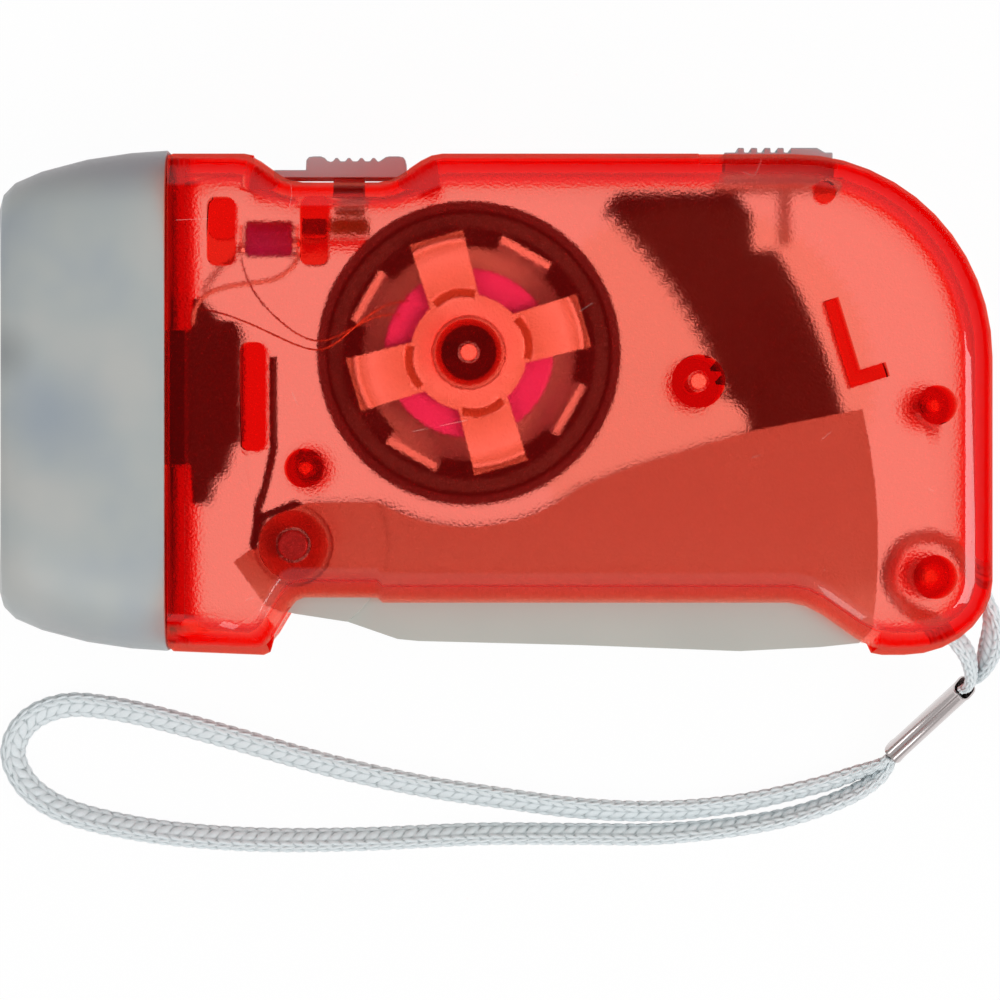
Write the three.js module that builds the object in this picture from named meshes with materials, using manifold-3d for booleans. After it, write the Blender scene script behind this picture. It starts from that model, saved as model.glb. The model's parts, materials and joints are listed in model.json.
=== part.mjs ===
// A hand-squeeze dynamo torch, lying on its side with the left shell up.
// Millimetres. X runs from the lamp head (-) to the strap corner (+), Y from the grip lever (-)
// to the switch side (+), and Z from the right shell's flat side (0) up to the left shell.
// The origin is under the middle of the torch, without its strap.
//
// Squeezing the lever swings an internal sector gear about the pivot pin. The sector turns a small
// pinion, whose wheel turns the flywheel with its ring magnet round a claw-pole stator.

import * as THREE from "three";
import { mergeVertices } from "three/addons/utils/BufferGeometryUtils.js";
import Module from "manifold-3d";

const wasm = await Module();
wasm.setup();

// Overall sizes
const overall_length = 106.5;
const overall_height = 54.36;
const overall_thickness = 36;
const overrun = 1; // how far a cutter passes the face that it cuts
const clearance = 0.3; // between pieces that touch on the real torch
const half_turn = Math.PI;
const right_angle = half_turn / 2;
const degree = half_turn / 180;

// Shells
const wall = 1.8;
const dip_wall = 1.4; // under the floor of the switch's dip
const edge_radius = 3.6;
const edge_steps = 3;
const side_draft = 0.8; // how far a shell draws in from the seam to its rounded edge
const seam_gap = 0.3;
const head_length = 18.3;
const lock_stand_out = 0.4; // the lock slider's ribs above the shells' top line
const nose_rise = 0.4; // the front end of the lower edge, above the lowest line
const dip_depth = 3.1;
const dip_floor_length = 8.1;
const dip_front_ramp = 6.3;
const dip_rear_ramp = 6.9;
const dip_from_collar = 18.1;
const dip_block_front = 9.9; // the solid under the dip, ahead of its middle
const dip_block_rear = 10.65;
const dip_block_corner = 0.7;
const rear_top_corner_length = 21.5;
const rear_top_corner_height = 22.2;
const rear_low_corner_length = 9.5;
const rear_low_corner_height = 8.1;
const rear_ramp_length = 10.7;
const front_ramp_length = 5;
const nose_from_pivot = 1.5;
const dip_widening_share = 0.3;
const rear_ramp_widening_share = 0.22;
const nose_widening_share = 0.45;
const rim_height = 5.03; // from the lowest line up to the rim that the lever passes
const rim_step = 0.55;
const rim_step_from_pivot = 8.9;
const seam_z = overall_thickness / 2;

const head_front_x = -overall_length / 2;
const collar_x = head_front_x + head_length;
const rear_x = overall_length / 2;
const low_y = -overall_height / 2;
const shell_top_y = overall_height / 2 - lock_stand_out;
const rim_y = low_y + rim_height;
const left_inner_z = overall_thickness - wall;
const dip_middle_x = collar_x + dip_from_collar;
const dip_floor_y = shell_top_y - dip_depth;

// Lever
const pivot_from_collar = 13.37;
const pivot_height = 11.92; // above the lowest line
const pivot_pin_radius = 1.6;
const pin_running_gap = 0.3;
const hub_radius = 3.7;
const barrel_radius = 3.4;
const lever_rear_room = 12.83; // from the lever's end to the rear end of the shells
const lever_side_room = 5; // from the lever's cheeks to the outside of the shells
const cheek_thickness = 1.5;
const web_thickness = 1.8;
const lever_end_top_height = 26.29; // above the lowest line
const lever_end_low_height = 3.08;
const lever_rotor_gap = 2.3;
const pad_radius = 9.9;
const pad_height = 0.5;
const slot_gap = 0.9; // between the lever's cheeks and the shells' slot
const lever_low_z = lever_side_room;
const lever_high_z = overall_thickness - lever_side_room;
const upper_cheek_z = lever_high_z - cheek_thickness;
const lower_cheek_top_z = lever_low_z + cheek_thickness;
const pivot_x = collar_x + pivot_from_collar;
const pivot_y = low_y + pivot_height;
const lever_end_radius = rear_x - lever_rear_room - pivot_x;

// Gears
const gear_module = 0.5;
const pressure_angle = 25 * degree;
const addendum_share = 0.82;
const dedendum_share = 1.08;
const backlash = 0.14;
const flank_steps = 2;
const wheel_flank_steps = 1;
const pinion_teeth = 11;
const rotor_pinion_teeth = 20;
const gear_axle_drop = 0.25; // below the middle between the rim and the top line
const wheel_room = 3.1; // from the wheel's pitch circle to the shells' walls
const sector_end_inset = 1.1; // the sector's outer edge inside the lever's end
const sector_rim_width = 11.9; // from the sector's pitch circle to its outer edge
const sector_thickness = 3.5;
const sector_teeth_before = 4.28; // toothed rim below the pinion
const sector_teeth_top_drop = 6.32; // below the shells' top line
const sector_top_drop = 3.91;
const sector_foot_step = 1.6; // the foot's inner edge outside the pitch circle
const sector_foot_height = 10.86; // above the lowest line
const sector_foot_top_height = 26.21;
const wheel_thickness = 2;
const wheel_web_share = 0.55;
const gear_axle_radius = 0.85;
const gear_gap = 0.35; // between gears that pass each other face to face

const sector_outer_radius = lever_end_radius - sector_end_inset;
const sector_teeth_in_full_circle =
  2 * Math.round((sector_outer_radius - sector_rim_width) / gear_module);
const sector_radius = (gear_module * sector_teeth_in_full_circle) / 2;
const sector_foot_inner_radius = sector_radius + sector_foot_step;
const sector_top_y = shell_top_y - sector_top_drop;
const pinion_radius = (gear_module * pinion_teeth) / 2;
const rotor_pinion_radius = (gear_module * rotor_pinion_teeth) / 2;
const first_centre_distance = sector_radius - pinion_radius;
const works_middle_y = (rim_y + shell_top_y) / 2;
const works_half_height = (shell_top_y - rim_y) / 2 - wall;
const gear_y = works_middle_y - gear_axle_drop;
const gear_axle_angle = Math.asin((gear_y - pivot_y) / first_centre_distance);
const gear_x = pivot_x + first_centre_distance * Math.cos(gear_axle_angle);

const sector_low_z = lower_cheek_top_z + clearance;
const sector_high_z = sector_low_z + sector_thickness;
const pinion_low_z = sector_low_z - gear_gap;
const wheel_low_z = sector_high_z + 2 * gear_gap;
const wheel_high_z = wheel_low_z + wheel_thickness;

// Generator
const rotor_radius = 16.2;
const rotor_front_room = 2.1; // from the pivot to the rotor's front edge, along the case
const rotor_lift_share = 0.218; // of the height that the rotor leaves free
const rotor_wall = 1;
const rotor_disc_thickness = 1.6;
const rotor_height = 10.4;
const magnet_thickness = 1.5;
const magnet_height = 8.2;
const air_gap = 0.5;
const yoke_thickness = 0.8;
const yoke_hub_inset = 2.8; // the hub's edge inside the coil's outside
const yoke_arms = 4;
const yoke_arm_angle = 15.7 * degree;
const yoke_arm_width = 5.8;
const yoke_arm_taper_share = 0.86;
const claw_length = 6.4;
const lower_claw_width = 6;
const lower_yoke_angle = 60.7 * degree;
const stator_gap = 0.6; // the lower yoke above the rotor's disc
const stator_height = 10.4; // over both yokes
const stator_room = 3.6; // from the upper yoke to the left shell's inside
const bobbin_flange = 0.6;
const bobbin_room = 0.5; // from the bobbin's flange to the claws
const bobbin_core_radius = 2.9;
const coil_inset = 2.4; // the coil's outside inside the bobbin's flange
const coil_height = 7;
const generator_axle_radius = 0.9;

// The wheel fits both the height of the case and the length between the rotor and the sector.
const wheel_radius_by_height = works_half_height - wheel_room;
const wheel_radius_by_length =
  gear_x - pivot_x - rotor_front_room - rotor_radius - rotor_pinion_radius;
const wheel_teeth =
  2 * Math.round(Math.min(wheel_radius_by_height, wheel_radius_by_length) / gear_module);
const wheel_radius = (gear_module * wheel_teeth) / 2;
const second_centre_distance = wheel_radius + rotor_pinion_radius;
const rotor_y = works_middle_y + rotor_lift_share * 2 * (works_half_height - rotor_radius);
const generator_angle = half_turn - Math.asin((rotor_y - gear_y) / second_centre_distance);
const rotor_x = gear_x + second_centre_distance * Math.cos(generator_angle);

const stator_high_z = left_inner_z - stator_room;
const stator_low_z = stator_high_z - stator_height;
const rotor_disc_top_z = stator_low_z - stator_gap;
const rotor_low_z = rotor_disc_top_z - rotor_disc_thickness;
const magnet_inner_radius = rotor_radius - rotor_wall - clearance - magnet_thickness;
const claw_reach = magnet_inner_radius - air_gap - yoke_thickness / 4;
const bobbin_radius = claw_reach - yoke_thickness - bobbin_room;
const coil_radius = bobbin_radius - coil_inset;
const yoke_hub_radius = coil_radius - yoke_hub_inset;

// Bosses and screws
const screw_boss_radius = 2.1;
const strap_boss_radius = 2.35;
const gear_boss_radius = 2.85;
const generator_boss_radius = 3.5;
const pivot_boss_radius = 3.65;
const locating_pin_radius = 1.17;
const locating_pin_length = 6;
const screw_radius = 0.75;
const screw_hole_radius = 1.1;
const screw_head_radius = 1.6;
const screw_head_height = 1.4;
const screw_head_wall = 0.6; // round a screw head's recess
const screw_length = 24;
const pilot_radius = 0.65; // the blind hole ahead of a screw's tip
const strap_pilot_radius = 1.4;
const pilot_floor = 1.2; // solid plastic over it, inside the shell's wall
const front_boss_back = 1.17; // behind the pivot
const front_boss_rise = 8.14; // above the pivot
const rear_boss_inset = 6.72; // from the rear end
const rear_boss_height = 26.73; // above the lowest line
const strap_boss_inset = 6.93;
const strap_boss_height = 8.54;
const locating_pin_inset = 18.56;
const locating_pin_drop = 4.71; // below the shells' top line
const boss_sides = 20;

const front_boss = {
  x: pivot_x + front_boss_back,
  y: pivot_y + front_boss_rise,
  radius: screw_boss_radius,
  pilot: pilot_radius,
};
const rear_boss = {
  x: rear_x - rear_boss_inset,
  y: low_y + rear_boss_height,
  radius: screw_boss_radius,
  pilot: pilot_radius,
};
const strap_boss = {
  x: rear_x - strap_boss_inset,
  y: low_y + strap_boss_height,
  radius: strap_boss_radius,
  pilot: strap_pilot_radius,
};
const locating_pin = { x: rear_x - locating_pin_inset, y: shell_top_y - locating_pin_drop };

// Ribs of the left shell
const post_rear_room = 2.92; // from the post to the pivot, along the case
const post_width = 2.68;
const post_drop = 5.42; // its low end below the head's middle
const post_height = 11.53;
const post_depth = 12;
const post_corner = 0.9;
const stop_rib_inset = 15.87; // from the rear end
const stop_rib_height = 28.52; // above the lowest line
const stop_rib_long = 9.6;
const stop_rib_short = 4.3;
const stop_rib_width = 1.55;
const stop_rib_depth = 9;
const stop_rib_angle = 17 * degree;
const bracket_width = 2.96;
const bracket_height = 7.2;
const bracket_corner = 0.85;
const bracket_depth = 6.4;
const bracket_upper_share = 0.47; // of its height, the part that reaches deeper
const bracket_upper_depth = 10.2;
const bracket_rear_ahead = 2.51; // of the dip's middle
const bracket_spacing = 9.83;
const bracket_drop = 8.83; // its middle below the shells' top line

const post_high_x = pivot_x - post_rear_room;
const post_low_x = post_high_x - post_width;
const bracket_rear_x = dip_middle_x - bracket_rear_ahead;
const bracket_front_x = bracket_rear_x - bracket_spacing;
const bracket_middle_y = shell_top_y - bracket_drop;

// Head
const head_wall = 1.6;
const head_step_in = 0.43; // the head's rear edge inside half the overall height
const head_side_step_in = 0.15;
const head_middle_y = 0.1;
const head_gap = 0.15; // half the joint between head and shells
const head_lip = 1.9;
const front_bow = 0.8; // how far the front rim falls back towards its flat sides
const front_wave = 0.2;
const front_flat_share = 0.4; // of the rim's half thickness, straight across the seam
const ring_points = 36;
const ring_power = 5;
const neck_length = 2.8;
const neck_wall = 1.4;
const lens_thickness = 1.4;
const board_back_room = 4.3; // from the lamp board to the collar
const reflector_edge = 1.47; // beside the outer cups
const cup_gap = 0.4;
const led_radius = 2.5;
const led_flange_radius = 2.9;
const led_flange_height = 1;
const led_front_room = 1.2; // from a lamp's dome to the reflector's front
const board_thickness = 1.4;
const board_edge_room = 4.6; // from the lamp board's edges to the neck

const head_rear_half_height = overall_height / 2 - head_step_in;
const head_rear_half_thickness = overall_thickness / 2 - head_side_step_in;
const neck_half_height = head_rear_half_height - head_wall - clearance;
const neck_half_thickness = head_rear_half_thickness - head_wall - clearance;

// Lamp holder
const holder_side_room = 7.2; // from the holder to the shells' inside
const holder_frame_depth = 3.1;
const holder_frame_step = 5; // the frame's ends inside the board's ends
const window_drop = 7.1; // below the head's middle
const window_rise = 7.76;
const rectifier_length = 4;
const rectifier_width = 3;
const rectifier_height = 1.3;
const rectifier_inset = 2.15; // its middle inside the board's upper end

const holder_low_z = wall + holder_side_room;
const holder_high_z = left_inner_z - holder_side_room;
const window_low_y = head_middle_y - window_drop;
const post_low_y = head_middle_y - post_drop;
const window_high_y = head_middle_y + window_rise;

// Cell
const cell_radius = 1.95;
const cell_depth = 8.2; // below the left shell's inside
const cell_drop = 0.65; // below the brackets' middle
const tab_thickness = 0.3;
const tab_height_share = 0.75; // of the cell's diameter

// Spring
const wire_radius = 0.45;
const spring_radius = 4.35;
const spring_turns = 3;
const spring_pitch = 1.4;

// Switch
const knob_middle_behind = 1.76; // of the dip's middle
const knob_length = 10.69;
const knob_width = 11;
const knob_drop = 0.53; // its top below the shells' top line
const slide_front_length = 3.42; // the slide plate ahead of the knob
const slide_thickness = 0.8;
const slide_clearance = 0.3;
const switch_travel = 2;
const stem_length = 3.3;
const stem_width = 5;
const stem_ahead = 0.8; // of the knob's middle
const switch_plate_thickness = 0.9;
const contact_thickness = 0.5;
const contact_width = 5;
const contact_overlap = 0.45; // of a contact plate past the stem's length
const front_contact_length = 2.6;
const contact_plate_height = 1.7;
const contact_rib_width = 0.8;

const knob_middle_x = dip_middle_x + knob_middle_behind;
const knob_front_x = knob_middle_x - knob_length / 2;
const knob_rear_x = knob_middle_x + knob_length / 2;
const knob_top_y = shell_top_y - knob_drop;
const slide_front_x = knob_front_x - slide_front_length;
const slide_low_y = dip_floor_y + slide_clearance;
const slide_top_y = slide_low_y + slide_thickness;
const stem_middle_x = knob_middle_x - stem_ahead;
const switch_plate_top_y = dip_floor_y - dip_wall - 2 * clearance;

// Lock slider
const lock_from_rear = 28.95; // its front end ahead of the shells' rear end
const lock_length = 11.6;
const lock_width = 10;
const lock_travel = 2.4;
const lock_flange_thickness = 0.9;
const lock_rib_height = 0.5;
const lock_ribs = 4;
const lock_rib_pitch = 1.42;
const lock_rib_width = 0.7;
const lock_stem_behind = 6.3; // of its front end
const lock_stem_width = 1.25;
const lock_stem_drop = 9.58; // its end below the shells' top line
const catch_gap = 0.5; // between the lock's stem, drawn forward, and the sector's catch
const catch_step_height = 0.6; // the catch's face below the stem's end

const lock_front_x = rear_x - lock_from_rear;
const lock_rear_x = lock_front_x + lock_length;
const lock_stem_x = lock_front_x + lock_stem_behind;
const lock_stem_end_y = shell_top_y - lock_stem_drop;

// Strap
const cord_radius = 1; // the mean of the flat braid's half width and half thickness
const strap_hole_radius = 1.6;

// Wires
const lead_radius = 0.35;
const lead_root_share = 0.934; // of the coil's radius
const holder_lead_rise = 1.8; // above the window in the collar
const holder_lead_back = 1.1; // behind the collar's wall
const first_lead_angle = 151.5 * degree;
const second_lead_angle = 139.5 * degree;
const cell_wire_rise = 0.34;
const cell_wire_back = 0.3;
const switch_wire_rise = 3.89;
const switch_wire_back = 0.9;
const switch_wire_drop = 4; // below the seam

// Solids

// A closed geometry as a solid, with its faces turned outwards.
function solid(geometry) {
  const bare = geometry.index ? geometry.toNonIndexed() : geometry.clone();
  bare.deleteAttribute("normal");
  bare.deleteAttribute("uv");
  const merged = mergeVertices(bare, 1e-4);
  const vertProperties = merged.attributes.position.array;
  const triVerts = new Uint32Array(merged.index.array);
  const made = new wasm.Manifold(new wasm.Mesh({ numProp: 3, vertProperties, triVerts }));
  if (made.volume() >= 0) return made;
  for (let i = 0; i < triVerts.length; i += 3)
    [triVerts[i + 1], triVerts[i + 2]] = [triVerts[i + 2], triVerts[i + 1]];
  return new wasm.Manifold(new wasm.Mesh({ numProp: 3, vertProperties, triVerts }));
}

function geometryOf(made) {
  const mesh = made.getMesh();
  const geometry = new THREE.BufferGeometry();
  geometry.setAttribute("position", new THREE.BufferAttribute(mesh.vertProperties, 3));
  geometry.setIndex(new THREE.BufferAttribute(mesh.triVerts, 1));
  geometry.computeVertexNormals();
  return geometry;
}

function joined(...solids) {
  return solids.reduce((all, next) => all.add(next));
}

// An outline in X and Y between two heights.
function prism(points, low, high) {
  const shape = new THREE.Shape(points.map(([x, y]) => new THREE.Vector2(x, y)));
  const geometry = new THREE.ExtrudeGeometry(shape, { depth: high - low, bevelEnabled: false });
  return solid(geometry.translate(0, 0, low));
}

function block(low_x, high_x, low_block_y, high_block_y, low_z, high_z) {
  const geometry = new THREE.BoxGeometry(high_x - low_x, high_block_y - low_block_y, high_z - low_z);
  geometry.translate((low_x + high_x) / 2, (low_block_y + high_block_y) / 2, (low_z + high_z) / 2);
  return solid(geometry);
}

// An upright round rod.
function rod(x, y, radius, low, high, sides = boss_sides) {
  const geometry = new THREE.CylinderGeometry(radius, radius, high - low, sides);
  return solid(geometry.rotateX(right_angle).translate(x, y, (low + high) / 2));
}

// A round rod between two points.
function rodBetween(from, to, radius, sides = 10) {
  const a = new THREE.Vector3(...from);
  const b = new THREE.Vector3(...to);
  const geometry = new THREE.CylinderGeometry(radius, radius, a.distanceTo(b), sides);
  const turn = new THREE.Quaternion().setFromUnitVectors(
    new THREE.Vector3(0, 1, 0),
    b.clone().sub(a).normalize(),
  );
  geometry.applyQuaternion(turn);
  return solid(geometry.translate((a.x + b.x) / 2, (a.y + b.y) / 2, (a.z + b.z) / 2));
}

// A block whose upright edges are rounded.
function roundedBlock(low_x, high_x, low_block_y, high_block_y, low_z, high_z, corner) {
  const steps = 3;
  const left_x = low_x + corner;
  const right_x = high_x - corner;
  const near_y = low_block_y + corner;
  const far_y = high_block_y - corner;
  const outline = [
    ...arc(right_x, far_y, corner, corner, 0, right_angle, steps),
    ...arc(left_x, far_y, corner, corner, right_angle, half_turn, steps),
    ...arc(left_x, near_y, corner, corner, half_turn, half_turn + right_angle, steps),
    ...arc(right_x, near_y, corner, corner, -right_angle, 0, steps),
  ];
  return prism(outline, low_z, high_z);
}

// An upright turned ring, from a closed profile of [radius, height] pairs.
function turned(x, y, profile, sides = 48) {
  const points = [...profile, profile[0]].map(([r, h]) => new THREE.Vector2(r, h));
  const geometry = new THREE.LatheGeometry(points, sides);
  return solid(geometry.rotateX(right_angle).translate(x, y, 0));
}

function ring(x, y, inner, outer, low, high, sides) {
  const profile = [[inner, low], [outer, low], [outer, high], [inner, high]];
  return turned(x, y, profile, sides);
}

// A closed skin through rings of as many points each, with flat ends.
function loft(rings) {
  const count = rings[0].length;
  const corners = rings.flat();
  const faces = [];
  for (let r = 0; r + 1 < rings.length; r++)
    for (let i = 0; i < count; i++) {
      const next = (i + 1) % count;
      const a = r * count + i;
      const b = r * count + next;
      faces.push(a, b, b + count, a, b + count, a + count);
    }
  const last = (rings.length - 1) * count;
  for (let i = 1; i + 1 < count; i++) {
    faces.push(0, i + 1, i);
    faces.push(last, last + i, last + i + 1);
  }
  const geometry = new THREE.BufferGeometry();
  geometry.setAttribute("position", new THREE.Float32BufferAttribute(corners.flat(), 3));
  geometry.setIndex(faces);
  return solid(geometry);
}

// A closed skin through level outlines of as many points each.
function stacked(outlines) {
  const count = outlines[0].length;
  const faces = [];
  for (let r = 0; r + 1 < outlines.length; r++)
    for (let i = 0; i < count; i++) {
      const next = (i + 1) % count;
      const a = r * count + i;
      const b = r * count + next;
      faces.push(a, b, b + count, a, b + count, a + count);
    }
  const cap = (outline) =>
    THREE.ShapeUtils.triangulateShape(outline.map(([x, y]) => new THREE.Vector2(x, y)), []);
  const last = (outlines.length - 1) * count;
  cap(outlines[0]).forEach(([a, b, c]) => faces.push(a, c, b));
  cap(outlines.at(-1)).forEach(([a, b, c]) => faces.push(last + a, last + b, last + c));
  const geometry = new THREE.BufferGeometry();
  const corners = outlines.flat(2);
  geometry.setAttribute("position", new THREE.Float32BufferAttribute(corners, 3));
  geometry.setIndex(faces);
  return solid(geometry);
}

// A rounded rectangle across the X axis.
function crossRing(x, half_height, half_thickness, middle_y = head_middle_y) {
  const points = [];
  for (let i = 0; i < ring_points; i++) {
    const turn = (2 * half_turn * (i + 1 / 2)) / ring_points;
    const c = Math.cos(turn);
    const s = Math.sin(turn);
    const y = half_height * Math.sign(c) * Math.abs(c) ** (2 / ring_power);
    const z = half_thickness * Math.sign(s) * Math.abs(s) ** (2 / ring_power);
    points.push([x, middle_y + y, seam_z + z]);
  }
  return points;
}

// A round tube along a route of points.
function tube(route, radius, sides, steps) {
  const curve = new THREE.CatmullRomCurve3(
    route.map((p) => new THREE.Vector3(...p)),
    false,
    "centripetal",
  );
  const section = new THREE.Shape();
  for (let i = 0; i < sides; i++) {
    const turn = (2 * half_turn * i) / sides;
    section[i ? "lineTo" : "moveTo"](radius * Math.cos(turn), radius * Math.sin(turn));
  }
  const geometry = new THREE.ExtrudeGeometry(section, { steps, extrudePath: curve });
  return solid(geometry);
}

// Outlines

function ease(from, to, steps) {
  const points = [];
  for (let i = 0; i <= steps; i++) {
    const t = i / steps;
    const rise = (1 - Math.cos(half_turn * t)) / 2;
    points.push([from[0] + (to[0] - from[0]) * t, from[1] + (to[1] - from[1]) * rise]);
  }
  return points;
}

function arc(x, y, radius_x, radius_y, from, to, steps) {
  const points = [];
  for (let i = 0; i <= steps; i++) {
    const turn = from + ((to - from) * i) / steps;
    points.push([x + radius_x * Math.cos(turn), y + radius_y * Math.sin(turn)]);
  }
  return points;
}

// The shells' outline seen from the left side, from the collar round the top to the nose,
// drawn in by an inset.
function bodyOutline(inset, front_inset) {
  const front_x = collar_x + head_gap + front_inset;
  const dip_half = dip_floor_length / 2 + inset * dip_widening_share;
  const dip_front = dip_middle_x - dip_half;
  const dip_rear = dip_middle_x + dip_half;
  const top_y = shell_top_y - inset;
  const floor_y = dip_floor_y - (inset * dip_wall) / wall;
  const bottom_y = low_y + inset;
  const edge_y = rim_y + inset;
  const corner_x = rear_x - rear_top_corner_length;
  const corner_y = shell_top_y - rear_top_corner_height;
  const low_corner_x = rear_x - rear_low_corner_length;
  const low_corner_y = low_y + rear_low_corner_height;
  const ramp_x = low_corner_x - rear_low_corner_length / 4 + inset * rear_ramp_widening_share;
  const step_x = pivot_x + rim_step_from_pivot;
  const nose_x = pivot_x + nose_from_pivot - inset * nose_widening_share;
  return [
    [front_x, top_y],
    ...ease([dip_front - dip_front_ramp, top_y], [dip_front, floor_y], 6),
    ...ease([dip_rear, floor_y], [dip_rear + dip_rear_ramp, top_y], 6),
    ...arc(corner_x, corner_y, rear_top_corner_length - inset, rear_top_corner_height - inset,
      right_angle, 0, 12),
    ...arc(low_corner_x, low_corner_y, rear_low_corner_length - inset,
      rear_low_corner_height - inset, 0, -right_angle, 7),
    ...ease([ramp_x, bottom_y], [ramp_x - rear_ramp_length, edge_y], 6),
    [step_x + rim_step, edge_y],
    [step_x, edge_y + rim_step],
    ...ease([nose_x, edge_y + rim_step], [nose_x - front_ramp_length, bottom_y], 6),
    [front_x, bottom_y + nose_rise],
  ].reverse();
}

// The body's full form with rounded edges, or its hollow when inset by the wall. Both halves draw
// in from the seam.
function bodyForm(inset, front_inset) {
  const rounding = edge_radius - inset;
  const levels = [];
  for (let i = edge_steps; i >= 0; i--) {
    const turn = (right_angle * i) / edge_steps;
    levels.push({
      inset: inset + side_draft + rounding * (1 - Math.cos(turn)),
      z: edge_radius - rounding * Math.sin(turn),
    });
  }
  const seam = { inset, z: seam_z };
  const upper = levels.map((level) => ({ ...level, z: overall_thickness - level.z })).reverse();
  return stacked(
    [...levels, seam, ...upper].map((level) =>
      bodyOutline(level.inset, front_inset).map(([x, y]) => [x, y, level.z]),
    ),
  );
}

// Half the angle that a tooth, or for an internal gear a gap, fills at a radius.
function halfAngle(teeth, radius, widening) {
  const pitch = (gear_module * teeth) / 2;
  const base = pitch * Math.cos(pressure_angle);
  const involute = (angle) => Math.tan(angle) - angle;
  const here = Math.acos(Math.min(1, base / radius));
  return right_angle / teeth + widening / (2 * pitch) + involute(pressure_angle) - involute(here);
}

function polar(x, y, radius, angle) {
  return [x + radius * Math.cos(angle), y + radius * Math.sin(angle)];
}

// The outline of a whole external gear with one tooth centred on a given angle.
function gearOutline(x, y, teeth, phase, steps = flank_steps) {
  const pitch = (gear_module * teeth) / 2;
  const tip = pitch + addendum_share * gear_module;
  const root = pitch - dedendum_share * gear_module;
  const start = Math.max(root, pitch * Math.cos(pressure_angle));
  const points = [];
  for (let tooth = 0; tooth < teeth; tooth++) {
    const middle = phase + (2 * half_turn * tooth) / teeth;
    const flank = [];
    for (let i = 0; i <= steps; i++) {
      const radius = start + ((tip - start) * i) / steps;
      flank.push([radius, halfAngle(teeth, radius, -backlash / 2)]);
    }
    if (start > root) flank.unshift([root, halfAngle(teeth, start, -backlash / 2)]);
    flank.forEach(([radius, half]) => points.push(polar(x, y, radius, middle - half)));
    flank.reverse().forEach(([radius, half]) => points.push(polar(x, y, radius, middle + half)));
  }
  return points;
}

// Materials

const red = new THREE.MeshStandardMaterial({
  color: 0xd81410,
  roughness: 0.25,
  transparent: true,
  opacity: 0.45,
});
const grey_plastic = new THREE.MeshStandardMaterial({ color: 0xa0a5a5, roughness: 0.45 });
const mauve_grey_plastic = new THREE.MeshStandardMaterial({ color: 0x96838a, roughness: 0.5 });
const clear_plastic = new THREE.MeshStandardMaterial({
  color: 0xf2f6f6,
  roughness: 0.05,
  transparent: true,
  opacity: 0.3,
});
const chromed_plastic = new THREE.MeshStandardMaterial({
  color: 0xe4e6e8,
  roughness: 0.1,
  metalness: 1,
});
const black_plastic = new THREE.MeshStandardMaterial({ color: 0x1c1a1c, roughness: 0.55 });
const white_plastic = new THREE.MeshStandardMaterial({ color: 0xe6e2d8, roughness: 0.5 });
const steel = new THREE.MeshStandardMaterial({ color: 0xb9b6b2, roughness: 0.3, metalness: 1 });
const spring_steel = new THREE.MeshStandardMaterial({
  color: 0x6c6a6a,
  roughness: 0.35,
  metalness: 1,
});
const brass = new THREE.MeshStandardMaterial({ color: 0xc9a24a, roughness: 0.35, metalness: 1 });
const ferrite = new THREE.MeshStandardMaterial({ color: 0x2e2b2d, roughness: 0.7 });
const coil_tape = new THREE.MeshStandardMaterial({ color: 0xea35dc, roughness: 0.45 });
const purple_sleeve = new THREE.MeshStandardMaterial({ color: 0x952299, roughness: 0.4 });
const board_green = new THREE.MeshStandardMaterial({ color: 0x2f6b3a, roughness: 0.5 });
const wire_cover = new THREE.MeshStandardMaterial({ color: 0xd9d4cc, roughness: 0.5 });
const braid = new THREE.MeshStandardMaterial({ color: 0xcdd4d7, roughness: 0.85 });

const torch = new THREE.Group();

function add(name, made, material) {
  const mesh = new THREE.Mesh(geometryOf(made), material);
  mesh.name = name;
  torch.add(mesh);
  return made;
}

// Shells

// The solid under the switch's dip.
function dipBlock(form) {
  return roundedBlock(dip_middle_x - dip_block_front, dip_middle_x + dip_block_rear,
    dip_floor_y - dip_wall, shell_top_y + overrun, -overrun, overall_thickness + overrun,
    dip_block_corner).intersect(form);
}

// The space that the lever's web and cheeks swing through, under the rim.
function leverSlot() {
  const reach = lever_end_radius + slot_gap;
  const front_x = pivot_x - hub_radius + slot_gap;
  const top_y = rim_y + rim_step + side_draft + wall + overrun;
  const rise = Math.asin((top_y - pivot_y) / reach);
  const depth_y = low_y - overrun;
  const fall = Math.asin((depth_y - pivot_y) / reach);
  const points = [
    [front_x, depth_y],
    ...arc(pivot_x, pivot_y, reach, reach, fall, rise, 4),
    [front_x, top_y],
  ];
  return prism(points, lever_low_z - slot_gap, lever_high_z + slot_gap);
}

function neck() {
  const front = collar_x - neck_length;
  const back = collar_x + head_gap + wall / 2;
  const outer = loft([
    crossRing(front, neck_half_height, neck_half_thickness),
    crossRing(back, neck_half_height, neck_half_thickness),
  ]);
  const inner_half_height = neck_half_height - neck_wall;
  const inner_half_thickness = neck_half_thickness - neck_wall;
  const inner = loft([
    crossRing(front - overrun, inner_half_height, inner_half_thickness),
    crossRing(collar_x + head_gap, inner_half_height, inner_half_thickness),
  ]);
  return outer.subtract(inner);
}

function lockOpening() {
  return block(
    lock_front_x - lock_travel - clearance,
    lock_rear_x + clearance,
    shell_top_y - wall * 2,
    shell_top_y + overrun,
    seam_z - lock_width / 2 - clearance,
    seam_z + lock_width / 2 + clearance,
  );
}

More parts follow.
